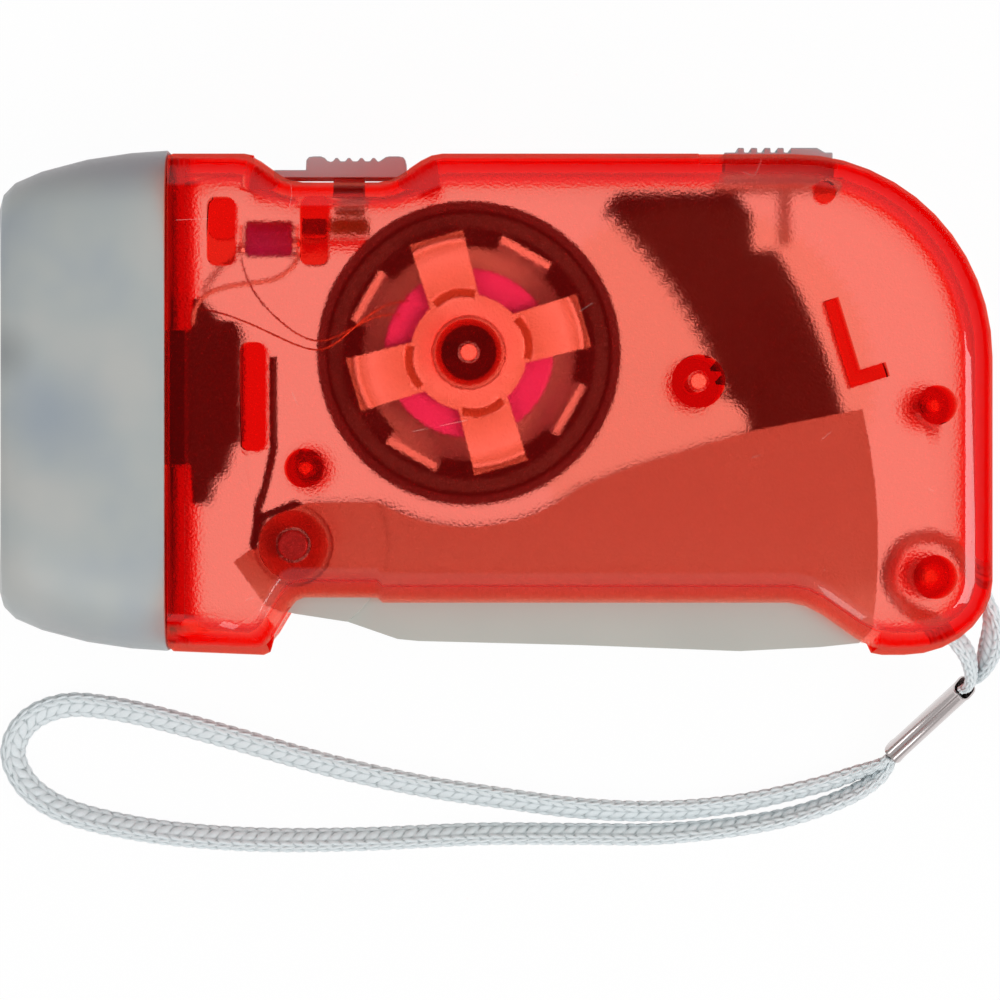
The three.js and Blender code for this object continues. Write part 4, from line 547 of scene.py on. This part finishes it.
# %% Clear red styrene
SHELL_DENSITY = 480.0  # absorption of blue for each metre
SHELL_COLOUR = "fd6f17"
SHELL_IOR = 1.06  # low, because the walls and the air gaps behind them are thin
SATIN = 0.35  # roughness of the inside
DYE_COLOUR = "ff0802"
DYE_GLOW = 0.037  # the share of light that the dye scatters back at each face
SLANTED_LIGHT = "f9dfce"  # lamp light crosses a wall at a slant, so it comes in redder
EDGE_TINT = "ff897c"  # what an inner face seen edge on lets through
RIM_TINT = "ffc9bd"  # and what the polished rim lets through
RIM_GLOW = 0.3
RIM_COLOUR = "ff8a72"
WALL_ROOM = 4.2 * MM  # faces deeper than this are the ends of posts and bosses
POST_END = "e8e8e8"  # those ends were left rough by the mould and pass less
STEEP, LEVEL = 0.2, 0.55  # the upright share of a normal, for a steep and for a level face
GLOSS_FROM, GLOSS_FULL = 0.65, 0.9  # and for where the gloss begins and is full
POLISH = 0.02  # roughness of the outside
SPARK_RELIEF = 0.55
LINT_COLOUR = "f6e4dc"
LINT_SPACING_MM = 4.5
LINT_REACH = 0.016  # as a share of the spacing
SCRATCH_SPACING_MM = 19
SCRATCH_WIDTH = 0.0013  # as a share of the spacing
SCRATCH_BREAKS = 0.66  # a scratch shows only where a soft noise is above this
MARK_COVER = 0.24
SHELL_CREASE = 40  # degrees


def handling_marks(tree, place, outside):
    """Where lint and hairline scratches lie on the polished outside, as a share of cover."""
    lint = cell_distance(tree, place, LINT_SPACING_MM, "F1")
    speck = value_of(tree, "LESS_THAN", lint, LINT_REACH)
    edge = cell_distance(tree, place, SCRATCH_SPACING_MM, "DISTANCE_TO_EDGE")
    line = value_of(tree, "LESS_THAN", edge, SCRATCH_WIDTH)
    soft = speckle(tree, place, size_mm=6, detail=1.0)
    scratch = value_of(
        tree, "MULTIPLY", line, value_of(tree, "GREATER_THAN", soft, SCRATCH_BREAKS)
    )
    either = value_of(tree, "MAXIMUM", speck, scratch)
    return value_of(tree, "MULTIPLY", value_of(tree, "MULTIPLY", either, MARK_COVER), outside)


def outer_side(tree, geometry, from_middle):
    """1 on the torch's outside and 0 inside it.

    An outer face points away from the middle. Backfacing tells whether the normal was turned round
    because the face is seen from within the plastic.
    """
    away = vector_of(tree, "DOT_PRODUCT", geometry["Normal"], from_middle, result="Value")
    outward = value_of(tree, "GREATER_THAN", away, 0.0)
    return value_of(tree, "ABSOLUTE", value_of(tree, "SUBTRACT", outward, geometry["Backfacing"]))


def shell_plastic(tree, place, outer, steepness, from_middle):
    """The plastic of a face that isn't seen edge on: glossy outside, satin and sparked inside."""
    gloss = ranged(tree, steepness, GLOSS_FROM, GLOSS_FULL)
    waves = speckle(tree, place, size_mm=9, detail=1.0)
    ripple = relief(tree, waves, strength=0.1, depth_mm=0.1)
    spark = speckle(tree, place, size_mm=0.3, detail=2.0)
    sparked = ranged(tree, outer, 0.0, 1.0, low=SPARK_RELIEF, high=0.0)
    texture = relief(tree, spark, sparked, depth_mm=0.35, under=ripple)
    off_middle = value_of(tree, "ABSOLUTE", axis_of(tree, from_middle, "Z"))
    deep = value_of(tree, "LESS_THAN", off_middle, SEAM_Z - WALL_ROOM)
    return shader(tree, "ShaderNodeBsdfPrincipled", {
        "Base Color": mixed(tree, deep, "ffffff", POST_END),
        "Roughness": ranged(tree, outer, 0.0, 1.0, low=SATIN, high=POLISH),
        "IOR": SHELL_IOR,
        "Transmission Weight": 1.0,
        "Normal": texture,
        "Coat Weight": value_of(tree, "MULTIPLY", outer, gloss),
        "Coat Roughness": 0.04,
        "Coat IOR": 1.55,
        "Coat Normal": ripple,
    })


def clear_styrene():
    material, tree = new_material("clear_red_styrene")
    place = place_on_object(tree)
    geometry = add_node(tree, "ShaderNodeNewGeometry").outputs
    from_middle = vector_of(tree, "SUBTRACT", geometry["Position"], (0.0, 0.0, SEAM_Z))
    outer = outer_side(tree, geometry, from_middle)
    steepness = value_of(tree, "ABSOLUTE", axis_of(tree, geometry["Normal"], "Z"))
    level = ranged(tree, steepness, STEEP, LEVEL)
    plastic = shell_plastic(tree, place, outer, steepness, from_middle)
    edge_tint = mixed(tree, outer, EDGE_TINT, RIM_TINT)
    edge_on = shader(tree, "ShaderNodeBsdfTransparent", {"Color": edge_tint})
    surface = layered(tree, level, edge_on, plastic)
    dye = shader(tree, "ShaderNodeBsdfDiffuse", {"Color": linear(DYE_COLOUR)})
    surface = layered(tree, DYE_GLOW, surface, dye)
    steep = value_of(tree, "SUBTRACT", 1.0, level)
    rim_share = value_of(tree, "MULTIPLY", value_of(tree, "MULTIPLY", outer, RIM_GLOW), steep)
    rim_light = shader(tree, "ShaderNodeBsdfDiffuse", {"Color": linear(RIM_COLOUR)})
    surface = layered(tree, rim_share, surface, rim_light)
    lint = shader(tree, "ShaderNodeBsdfDiffuse", {"Color": linear(LINT_COLOUR)})
    surface = layered(tree, handling_marks(tree, place, outer), surface, lint)
    through = shader(tree, "ShaderNodeBsdfTransparent", {"Color": linear(SLANTED_LIGHT)})
    shadow = add_node(tree, "ShaderNodeLightPath").outputs["Is Shadow Ray"]
    surface = layered(tree, shadow, surface, through)
    depth = add_node(
        tree, "ShaderNodeVolumeAbsorption",
        {"Color": linear(SHELL_COLOUR), "Density": SHELL_DENSITY},
    )
    return finish_material(material, surface, depth.outputs["Volume"])


red_styrene = clear_styrene()
for node in ("left_shell", "right_shell"):
    moulded(node, red_styrene, angle=SHELL_CREASE)

# %% [markdown]
# ## Grey, black and white plastics
#
# The lever, sliders, gears and holder are opaque mouldings. They differ in colour, in how fine the
# mould's grain is and in how much they gleam.

# %% Opaque mouldings
PLASTIC_IOR = 1.5
GRAIN_GLOSS = (0.85, 1.2)  # how far the grain varies the roughness
CASE_SHADE_LINE = (-21.6 * MM, -18.8 * MM)  # the lever gets a painted shade above this line, inside the red case, and keeps its own colour below it


def moulded_skin(tree, place, colour, gloss, grain_mm, depth_mm, gleam=0.5):
    """The skin of an opaque moulding. Its fine grain varies the gloss and gives it relief."""
    grain = speckle(tree, place, grain_mm, detail=4.0)
    return shader(tree, "ShaderNodeBsdfPrincipled", {
        "Base Color": colour,
        "Roughness": ranged(tree, grain, 0.0, 1.0, *gloss),
        "IOR": PLASTIC_IOR,
        "Specular IOR Level": gleam,
        "Normal": relief(tree, grain, strength=0.4, depth_mm=depth_mm),
    })


def moulded_plastic(
    name, colour, dark, roughness, grain_mm, depth_mm, mottle_mm=14.0, gleam=0.5, inside=None
):
    """An opaque moulding with a faint broad mottle between two shades.

    What lies above the case's shade line has the inside's colour, a painted shade for the dimmer,
    redder light in the case.
    """
    material, tree = new_material(name)
    place = place_on_object(tree)
    tone = mixed(tree, speckle(tree, place, mottle_mm, detail=2.0), colour, dark)
    # painted shade: the part inside the red case takes the inside colour
    if inside:
        tone = mixed(tree, ranged(tree, axis_of(tree, place, "Y"), *CASE_SHADE_LINE), tone, inside)
    gloss = [roughness * factor for factor in GRAIN_GLOSS]
    return finish_material(
        material, moulded_skin(tree, place, tone, gloss, grain_mm, depth_mm, gleam)
    )


# Name, two shades, roughness, grain and its depth in mm.
# The lever's inside colour is a painted shade for the dimmer, redder light inside the case.
lever_abs = moulded_plastic("lever_grey_abs", "bcbdb5", "b2b3ac", 0.4, 0.5, 0.02, inside="a7958a")
slider_abs = moulded_plastic("slider_grey_abs", "b2bfc3", "a6afb2", 0.45, 0.5, 0.02)
black_abs = moulded_plastic("black_abs", "060405", "020202", 0.5, 0.6, 0.02, gleam=0.15)
flywheel_abs = moulded_plastic(
    "flywheel_black_nylon", "482328", "34191d", 0.5, 0.6, 0.02, gleam=0.3
)
holder_abs = moulded_plastic("holder_black_abs", "2c1211", "200d0c", 0.5, 0.6, 0.02, gleam=0.15)
white_acetal = moulded_plastic("white_acetal", "e9e4d8", "dcd6c8", 0.4, 0.5, 0.01)

# %% [markdown]
# The head's grey is a little cloudy. Soft shadows are painted into its colour where the cups and the
# board lie behind its wall, and painted shade darkens it towards its top and bottom flanks, where the
# wall curves away.

# %% Cloudy head
# painted shadows at fixed places on the head, where the cups and the board lie behind its wall
HEAD_SHADOWS = (  # centre and reach in mm, strength, colour
    ((-46.0, -2.0, 34.0), 8.5, 0.55, "8f9aa6"),
    ((-51.5, 5.0, 32.0), 4.5, 0.7, "888c8e"),
    ((-47.0, -25.0, 30.0), 9.0, 0.3, "979da3"),
    ((-40.0, 26.0, 24.0), 12.0, 0.55, "8c8489"),
    ((-50.0, 24.0, 24.0), 9.0, 0.4, "9a959a"),
)
# painted shade that darkens the head towards its top and bottom flanks
HEAD_FLANK_SHADE = (  # where it begins and is full, in mm along Y, strength, colour
    (20.0, 27.0, 0.7, "877f86"),
    (-21.0, -27.0, 0.55, "8f9296"),
)


def cloudy_head():
    material, tree = new_material("cloudy_grey_abs")
    place = place_on_object(tree)
    cloud = speckle(tree, place, size_mm=11, detail=2.0)
    colour = ramp(tree, cloud, [(0.3, "a4abb0"), (0.5, "aeb3b2"), (0.7, "b7b8b5")])
    for centre_mm, reach_mm, strength, shade in HEAD_SHADOWS:
        centre = tuple(c * MM for c in centre_mm)
        away = vector_of(tree, "DISTANCE", place, centre, result="Value")
        soft = ranged(tree, away, 0.0, reach_mm * MM, 1.0, 0.0, "SMOOTHSTEP")
        colour = mixed(tree, value_of(tree, "MULTIPLY", soft, strength), colour, shade)
    across = axis_of(tree, place, "Y")
    for start_mm, end_mm, strength, shade in HEAD_FLANK_SHADE:
        flank = ranged(tree, across, start_mm * MM, end_mm * MM, 0.0, strength, "SMOOTHSTEP")
        colour = mixed(tree, flank, colour, shade)
    skin = moulded_skin(tree, place, colour, gloss=(0.34, 0.5), grain_mm=0.5, depth_mm=0.02)
    return finish_material(material, skin)


cloudy_abs = cloudy_head()

# %% [markdown]
# The big drive wheel hardly shows in the torch: it is moulded in unfilled nylon, which is milky and
# lets most light through. Straight-through light mixed with a little white scatter gives that.

# %% Milky nylon
CLOUDINESS = 0.015


def milky_nylon():
    material, tree = new_material("milky_nylon")
    milk = shader(
        tree, "ShaderNodeBsdfPrincipled", {"Base Color": linear("f4efe6"), "Roughness": 0.4}
    )
    through = shader(tree, "ShaderNodeBsdfTransparent", {"Color": linear("fdfaf5")})
    return finish_material(material, layered(tree, CLOUDINESS, through, milk))


clear_nylon = milky_nylon()

# %% [markdown]
# ## Metals
#
# A drawn or stamped metal has fine marks from its tool, which vary its gloss and give it relief.

# %% Metals
MARK_GLOSS = (0.7, 1.4)  # how far the marks vary the roughness


def drawn_metal(name, colour, roughness, grain_mm, depth_mm, metallic=1.0):
    material, tree = new_material(name)
    place = place_on_object(tree)
    marks = speckle(tree, place, grain_mm, detail=5.0)
    gloss = [roughness * factor for factor in MARK_GLOSS]
    surface = shader(tree, "ShaderNodeBsdfPrincipled", {
        "Base Color": linear(colour),
        "Metallic": metallic,
        "Roughness": ranged(tree, marks, 0.0, 1.0, *gloss),
        "Normal": relief(tree, marks, strength=0.3, depth_mm=depth_mm),
    })
    return finish_material(material, surface)


# Name, colour, roughness, the size of its marks and their depth in mm.
plated_steel = drawn_metal("zinc_plated_steel", "fbf6f0", 0.6, 0.8, 0.02, metallic=0.6)
ferrule_steel = drawn_metal("nickel_plated_steel", "cfc6c5", 0.2, 0.5, 0.01)
spring_wire = drawn_metal("oiled_spring_wire", "4a4546", 0.35, 0.4, 0.01)
dark_steel = drawn_metal("blued_steel", "a0606c", 0.4, 0.8, 0.02)
brass = drawn_metal("spring_brass", "d4ac55", 0.3, 0.6, 0.01)
chrome_cup = drawn_metal("vacuum_chromed_plastic", "eef0f2", 0.08, 3.0, 0.004)
enamelled_copper = drawn_metal("enamelled_copper", "c8754c", 0.35, 0.3, 0.005)
solder = drawn_metal("tin_solder", "e9e4de", 0.25, 0.7, 0.02)

# %% [markdown]
# The generator's upper yoke is pressed from plated sheet. Light and shade are painted into its
# colour, picked by the distance from the axle:
# a painted dark hollow at the hub, a painted highlight and shade line round the bearing, a painted
# shaded band with bright edges where each of its four arms is folded, painted highlights along the
# arms and painted shade at their ends. The same colour presses the relief.

# %% Pressed sheet
HUB = (-3.005 * MM, 5.134 * MM, 0.0)
HUB_REACH_MM = 14.0
# painted light and shade: a dark hub, highlight and shade lines round the bearing, bright arms,
# shaded arm ends
RING_LIGHT_AND_SHADE = [  # distance from the axle in mm, colour
    (0.0, "2a1216"), (2.85, "2a1216"), (3.0, "b09088"), (3.7, "dccbc2"), (3.85, "86625c"),
    (4.0, "ffffff"), (6.9, "e9d8c8"), (8.6, "f6ece2"), (10.4, "ffffff"), (11.6, "e2d0be"),
    (12.0, "ffffff"), (12.3, "8d7360"), (12.8, "b8a390"),
]
# painted light and shade of the fold: a shaded band with bright edges
FOLD_LIGHT_AND_SHADE = [  # share of the reach, colour
    (0.36, "fbf6f2"), (0.4, "ffffff"), (0.415, "a8643f"), (0.47, "bc7c55"), (0.48, "ffffff"),
]
FOLD_MIDDLE, FOLD_HALF = 0.445, 0.055  # where the fold lies, as shares of the reach
FOLD_BOW = -0.02  # the fold bows outwards at the arm's middle
ARMS = 4
FIRST_ARM = math.radians(14.5)
ARM_WIDTH = 0.12  # cosine at the arm's flank


def pressed_sheet():
    material, tree = new_material("pressed_zinc_plated_sheet")
    place = place_on_object(tree)
    away = vector_of(tree, "SUBTRACT", place, HUB)
    level = vector_of(tree, "MULTIPLY", away, (1.0, 1.0, 0.0))
    radius = vector_of(tree, "LENGTH", level, result="Value")
    share = value_of(tree, "MULTIPLY", radius, 1 / (HUB_REACH_MM * MM))
    rings = ramp(tree, share, [(r / HUB_REACH_MM, colour) for r, colour in RING_LIGHT_AND_SHADE])
    turn = value_of(tree, "ARCTAN2", axis_of(tree, level, "Y"), axis_of(tree, level, "X"))
    round_the_arms = value_of(tree, "MULTIPLY_ADD", turn, float(ARMS), -ARMS * FIRST_ARM)
    swing = value_of(tree, "COSINE", round_the_arms)
    bowed = value_of(tree, "ADD", share, value_of(tree, "MULTIPLY", swing, FOLD_BOW))
    near_fold = value_of(tree, "COMPARE", share, FOLD_MIDDLE, FOLD_HALF)
    on_arm = value_of(tree, "GREATER_THAN", swing, ARM_WIDTH)
    folded = value_of(tree, "MULTIPLY", near_fold, on_arm)
    # the painted light and shade of the rings and the folds, which also presses the relief
    pressed = mixed(tree, folded, rings, ramp(tree, bowed, FOLD_LIGHT_AND_SHADE))
    pressing = relief(tree, pressed, strength=0.5, depth_mm=0.2)
    stain = speckle(tree, place, size_mm=4, detail=2.0)
    marks = speckle(tree, place, size_mm=0.8, detail=5.0)
    surface = shader(tree, "ShaderNodeBsdfPrincipled", {
        "Base Color": mixed(tree, stain, pressed, "f3e6da", blend="MULTIPLY"),
        "Metallic": 0.5,
        "Roughness": 0.5,
        "Normal": relief(tree, marks, strength=0.3, depth_mm=0.02, under=pressing),
    })
    return finish_material(material, surface)


pressed_steel = pressed_sheet()

# %% [markdown]
# ## Coil, magnet, cell sleeve and board
#
# Tape, sleeve, ferrite and lacquer are opaque too, so they share the mouldings' recipe, with a
# finer mottle.

# %% Other finishes
# Name, two shades, roughness, grain and its depth in mm, size of the mottle in mm.
coil_tape = moulded_plastic("magenta_polyester_tape", "e35fd2", "cf4ab8", 0.3, 0.9, 0.02, 1.6)
sleeve = moulded_plastic("purple_shrink_sleeve", "a02cab", "7f1c8a", 0.3, 1.2, 0.04, 2.0)
ferrite = moulded_plastic("black_ferrite", "37302f", "241f1f", 0.75, 0.25, 0.03, 2.0)
board = moulded_plastic("green_lacquer_board", "2f7a44", "22592f", 0.35, 0.4, 0.02, 1.5)
wire_cover = moulded_plastic("cream_wire_cover", "e3ddd2", "cfc8bb", 0.5, 0.5, 0.01, 3.0)

# %% [markdown]
# Now every solid but the shells, straps, ferrule, wires, lens and lamps gets its finish, and its
# edges get their radius in millimetres.

# %% Dress the solids
FINISHES = {
    "lever": (lever_abs, 0.25),
    "sector_gear": (black_abs, 0.0),
    "drive_gear": (clear_nylon, 0.0),
    "flywheel_pinion": (white_acetal, 0.0),
    "flywheel": (flywheel_abs, 0.2),
    "ring_magnet": (ferrite, 0.2),
    "stator_yoke_lower": (plated_steel, 0.12),
    "stator_yoke_upper": (pressed_steel, 0.12),
    "coil_bobbin": (white_acetal, 0.1),
    "coil": (coil_tape, 0.3),
    "generator_axle": (plated_steel, 0.1),
    "gear_axle": (plated_steel, 0.1),
    "pivot_pin": (dark_steel, 0.2),
    "return_spring": (spring_wire, 0.0),
    "switch_knob": (slider_abs, 0.12),
    "switch_contact": (brass, 0.05),
    "contact_plate_front": (brass, 0.05),
    "contact_plate_rear": (brass, 0.05),
    "lock_slider": (slider_abs, 0.12),
    "head_bezel": (cloudy_abs, 0.3),
    "reflector": (chrome_cup, 0.0),
    "led_board": (board, 0.1),
    "rectifier": (black_abs, 0.15),
    "lamp_holder": (holder_abs, 0.2),
    "cell_stack": (sleeve, 0.25),
    "cell_tab_front": (plated_steel, 0.05),
    "cell_tab_rear": (plated_steel, 0.05),
    "sector_screw_1": (plated_steel, 0.08),
    "sector_screw_2": (plated_steel, 0.08),
    "front_screw": (plated_steel, 0.08),
    "rear_screw": (plated_steel, 0.08),
    "strap_screw": (plated_steel, 0.08),
}
for node, (finish, edge_mm) in FINISHES.items():
    moulded(node, finish, edge_mm * MM)
print("dressed", len(FINISHES))

# %% [markdown]
# ## Wires and solder
#
# The coil's two leads are enamelled copper as thin as a hair. The cell and the switch have thicker
# wires in a cream cover. A curve with a round bevel through the solids' own points gives a wire of
# any thickness, and a bead of solder is a squashed ball that wets the tab it sits on.

# %% Wires
HAIR, COVERED = 0.2, 0.55  # diameters in mm
WIRES = {
    "first_coil_lead": (HAIR, [
        (-10.39, 9.14, 29.85), (-12.51, 9.41, 31.49), (-16.0, 7.2, 32.1), (-19.3, 5.6, 32.1),
        (-24.0, 8.99, 31.51), (-26.6, 12.4, 29.39), (-27.26, 15.19, 26.0)]),
    "second_coil_lead": (HAIR, [
        (-9.4, 10.59, 29.85), (-12.2, 10.61, 32.41), (-16.51, 6.2, 33.3), (-19.31, 4.59, 33.29),
        (-26.01, 8.4, 32.8), (-31.01, 9.91, 30.99), (-31.6, 9.66, 27.65)]),
    "cell_wire": (COVERED, [
        (-21.29, 15.19, 26.0), (-22.4, 13.0, 26.86), (-26.2, 12.59, 27.1), (-30.8, 12.0, 27.23),
        (-32.49, 10.0, 28.14), (-32.4, 8.2, 27.65)]),
    "switch_wire": (COVERED, [
        (-21.54, 18.83, 18.0), (-25.39, 18.4, 16.41), (-28.6, 16.0, 14.4), (-31.0, 13.6, 14.0),
        (-31.8, 11.75, 14.0)]),
}


def thin_wire(node, diameter_mm, points_mm, material):
    curve = bpy.data.curves.new(node + "_strand", "CURVE")
    curve.dimensions = "3D"
    curve.bevel_depth = diameter_mm / 2 * MM
    curve.bevel_resolution = 3
    curve.resolution_u = 12
    curve.use_fill_caps = True
    spline = curve.splines.new("NURBS")
    spline.points.add(len(points_mm) - 1)
    for point, place in zip(spline.points, points_mm):
        point.co = (*(c * MM for c in place), 1.0)
    spline.order_u = 4
    spline.use_endpoint_u = True
    curve.materials.append(material)
    return stand_in(curve, node)


for node, (diameter, points) in WIRES.items():
    cover = wire_cover if diameter == COVERED else enamelled_copper
    thin_wire(node, diameter, points, cover)
print("wires", len(WIRES))

# %% Solder
BEADS = (  # name, place and radius in mm, the tab it wets
    ("solder_front_tab", (-27.2, 16.2, 27.5), 0.45, "cell_tab_front"),
    ("solder_rear_tab", (-21.35, 16.8, 27.5), 0.5, "cell_tab_rear"),
    ("solder_rear_tab_foot", (-21.3, 15.5, 26.4), 0.42, "cell_tab_rear"),
)
BEAD_SHAPE = (1.0, 1.25, 0.6)
BEAD_WAVES = 2600  # waves for each metre
BEAD_UNEVENNESS = 0.12


def solder_bead(name, place_mm, radius_mm, node):
    bm = bmesh.new()
    bmesh.ops.create_icosphere(bm, subdivisions=3, radius=radius_mm * MM)
    bmesh.ops.scale(bm, vec=BEAD_SHAPE, verts=bm.verts)
    for vert in bm.verts:
        vert.co *= 1 + BEAD_UNEVENNESS * noise.noise(vert.co * BEAD_WAVES)
    bmesh.ops.translate(bm, vec=[c * MM for c in place_mm], verts=bm.verts)
    bead = link_object(name, finish_mesh(bm, name, solder))
    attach(bead, "housing")


for bead in BEADS:
    solder_bead(*bead)
print("beads", len(BEADS))

# %% [markdown]
# ## The ferrule
#
# A strip of nickel-plated steel is rolled round both runs of the strap and crimped, so its section
# has two lobes with a groove between them. A circle bent to that section and extruded along the
# strap makes it. Its ends flare a little, and solidify gives the sheet its thickness.

# %% Ferrule
FERRULE_LOW = Vector((43.63, -37.96, 2.6)) * MM
FERRULE_HIGH = Vector((50.82, -30.92, 8.6)) * MM
FERRULE_HALF_WIDTH = 1.0 * MM
FERRULE_HALF_HEIGHT = 2.0 * MM
FERRULE_SHEET = 0.18 * MM
FERRULE_POINTS = 56
FERRULE_SQUARENESS = 0.62  # the power that makes its section a rounded rectangle
FERRULE_CREASE = math.radians(35)
GROOVE_DEPTH = 0.16  # as a share of the height
GROOVE_HALF_WIDTH = 0.28 * MM
LIP = 0.35 * MM
LIP_SCALES = (0.93, 1.075)  # the section shrinks after the first lip and flares at the last


def crimped_ferrule():
    ahead = (FERRULE_HIGH - FERRULE_LOW).normalized()
    across = Vector((-ahead.y, ahead.x, 0)).normalized()
    up = ahead.cross(across)
    length = (FERRULE_HIGH - FERRULE_LOW).length
    bm = bmesh.new()
    bmesh.ops.create_circle(bm, segments=FERRULE_POINTS, radius=1.0)
    for vert in bm.verts:
        c, s = vert.co.x, vert.co.y
        out = math.copysign(abs(c) ** FERRULE_SQUARENESS, c) * FERRULE_HALF_WIDTH
        rise = math.copysign(abs(s) ** FERRULE_SQUARENESS, s) * FERRULE_HALF_HEIGHT
        groove = 1 - GROOVE_DEPTH * math.exp(-((out / GROOVE_HALF_WIDTH) ** 2))
        vert.co = (out, rise * groove, 0)
    edges = list(bm.edges)
    for step, flare in ((LIP, LIP_SCALES[0]), (length - 2 * LIP, 1.0), (LIP, LIP_SCALES[1])):
        made = bmesh.ops.extrude_edge_only(bm, edges=edges)["geom"]
        edges = [g for g in made if isinstance(g, bmesh.types.BMEdge)]
        ring = [g for g in made if isinstance(g, bmesh.types.BMVert)]
        bmesh.ops.translate(bm, vec=(0, 0, step), verts=ring)
        bmesh.ops.scale(bm, vec=(flare, flare, 1), verts=ring)
    bmesh.ops.recalc_face_normals(bm, faces=bm.faces)
    bmesh.ops.solidify(bm, geom=bm.faces[:], thickness=FERRULE_SHEET)
    turn = Matrix((across, up, ahead)).transposed().to_4x4()
    bmesh.ops.transform(bm, matrix=Matrix.Translation(FERRULE_LOW) @ turn, verts=bm.verts)
    mesh = finish_mesh(bm, "crimped_ferrule", ferrule_steel)
    mesh.set_sharp_from_angle(angle=FERRULE_CREASE)
    return stand_in(mesh, "strap_ferrule")


print("ferrule faces", len(crimped_ferrule().data.polygons))

# %% [markdown]
# ## Clear plastics of the lamp
#
# The lens and the three lamps are plain clear plastic with a little roughness.

# %% Lens and lamps


def clear_plastic(name, colour, roughness):
    material, tree = new_material(name)
    surface = shader(tree, "ShaderNodeBsdfPrincipled", {
        "Base Color": linear(colour),
        "Roughness": roughness,
        "IOR": PLASTIC_IOR,
        "Transmission Weight": 1.0,
    })
    return finish_material(material, surface)


lens_plastic = clear_plastic("clear_styrene_lens", "fafcfc", 0.02)
lamp_resin = clear_plastic("clear_epoxy_lamp", "f8fafa", 0.03)
moulded("lens", lens_plastic, 0.15 * MM)
for number in (1, 2, 3):
    moulded(f"led_{number}", lamp_resin)

# %% [markdown]
# ## Table and light
#
# A white table fills the picture, and the camera, mirrors and clear plastic see it as pure white.
# The light comes from all sides, as in a light tent with a hole at the top for the camera. The hole
# is dark, so the flat polished walls reflect little of it and the parts behind them keep their
# depth, while the rounded edges catch the bright sides.

# %% Table and light
WHITE = (1.0, 1.0, 1.0, 1.0)
CLOTH = (0.92, 0.92, 0.92, 1.0)
TABLE_GLOW = 0.97  # the share of pure white in what camera, mirrors and clear plastic see
TABLE_HALF = 1.5  # metres
SKY_STRENGTH = 0.55
HOLE_BEGINS, HOLE_DARK = 0.93, 0.985  # how upright a direction is there
HOLE_SHADE = (0.06, 0.06, 0.06, 1.0)
LAMP_AIM = (0, 0, 0.01)


def white_table():
    material, tree = new_material("white_table")
    cloth = shader(tree, "ShaderNodeBsdfDiffuse", {"Color": CLOTH})
    glow = add_node(tree, "ShaderNodeEmission", {"Color": WHITE, "Strength": 1.0})
    path = add_node(tree, "ShaderNodeLightPath").outputs
    seen = value_of(tree, "MAXIMUM", path["Is Camera Ray"], path["Is Glossy Ray"])
    straight = value_of(tree, "MAXIMUM", seen, path["Is Transmission Ray"])
    share = value_of(tree, "MULTIPLY", straight, TABLE_GLOW)
    return finish_material(material, layered(tree, share, cloth, glow.outputs["Emission"]))


def lay_table():
    bm = bmesh.new()
    bmesh.ops.create_grid(bm, x_segments=1, y_segments=1, size=TABLE_HALF)
    link_object("table", finish_mesh(bm, "table", white_table()))


def soft_box(name, place, width, height, watts):
    data = bpy.data.lights.new(name, "AREA")
    data.shape = "RECTANGLE"
    data.size = width
    data.size_y = height
    data.energy = watts
    lamp = link_object(name, data)
    lamp.location = place
    ray = Vector(LAMP_AIM) - Vector(place)
    lamp.rotation_euler = ray.to_track_quat("-Z", "Y").to_euler()


def studio_sky():
    """Dark straight overhead, where the camera hangs, and bright all round the sides."""
    world = bpy.data.worlds.new("studio")
    world.use_nodes = True
    tree = world.node_tree
    tree.nodes.clear()
    direction = add_node(tree, "ShaderNodeTexCoord").outputs["Generated"]
    dome = add_node(tree, "ShaderNodeValToRGB", {"Fac": axis_of(tree, direction, "Z")})
    stops = ((HOLE_BEGINS, WHITE), (HOLE_DARK, HOLE_SHADE))
    for element, (position, colour) in zip(dome.color_ramp.elements, stops):
        element.position = position
        element.color = colour
    sky = add_node(
        tree, "ShaderNodeBackground", {"Color": dome.outputs["Color"], "Strength": SKY_STRENGTH}
    )
    add_node(tree, "ShaderNodeOutputWorld", {"Surface": sky.outputs["Background"]})
    bpy.context.scene.world = world


lay_table()
studio_sky()
soft_box("key", place=(0.42, -0.12, 0.55), width=0.3, height=0.4, watts=2.0)
soft_box("fill", place=(-0.35, -0.35, 0.5), width=0.4, height=0.3, watts=1.0)

# %% [markdown]
# ## Close the frame

# %% The view transform
bpy.context.scene.view_settings.view_transform = "Standard"
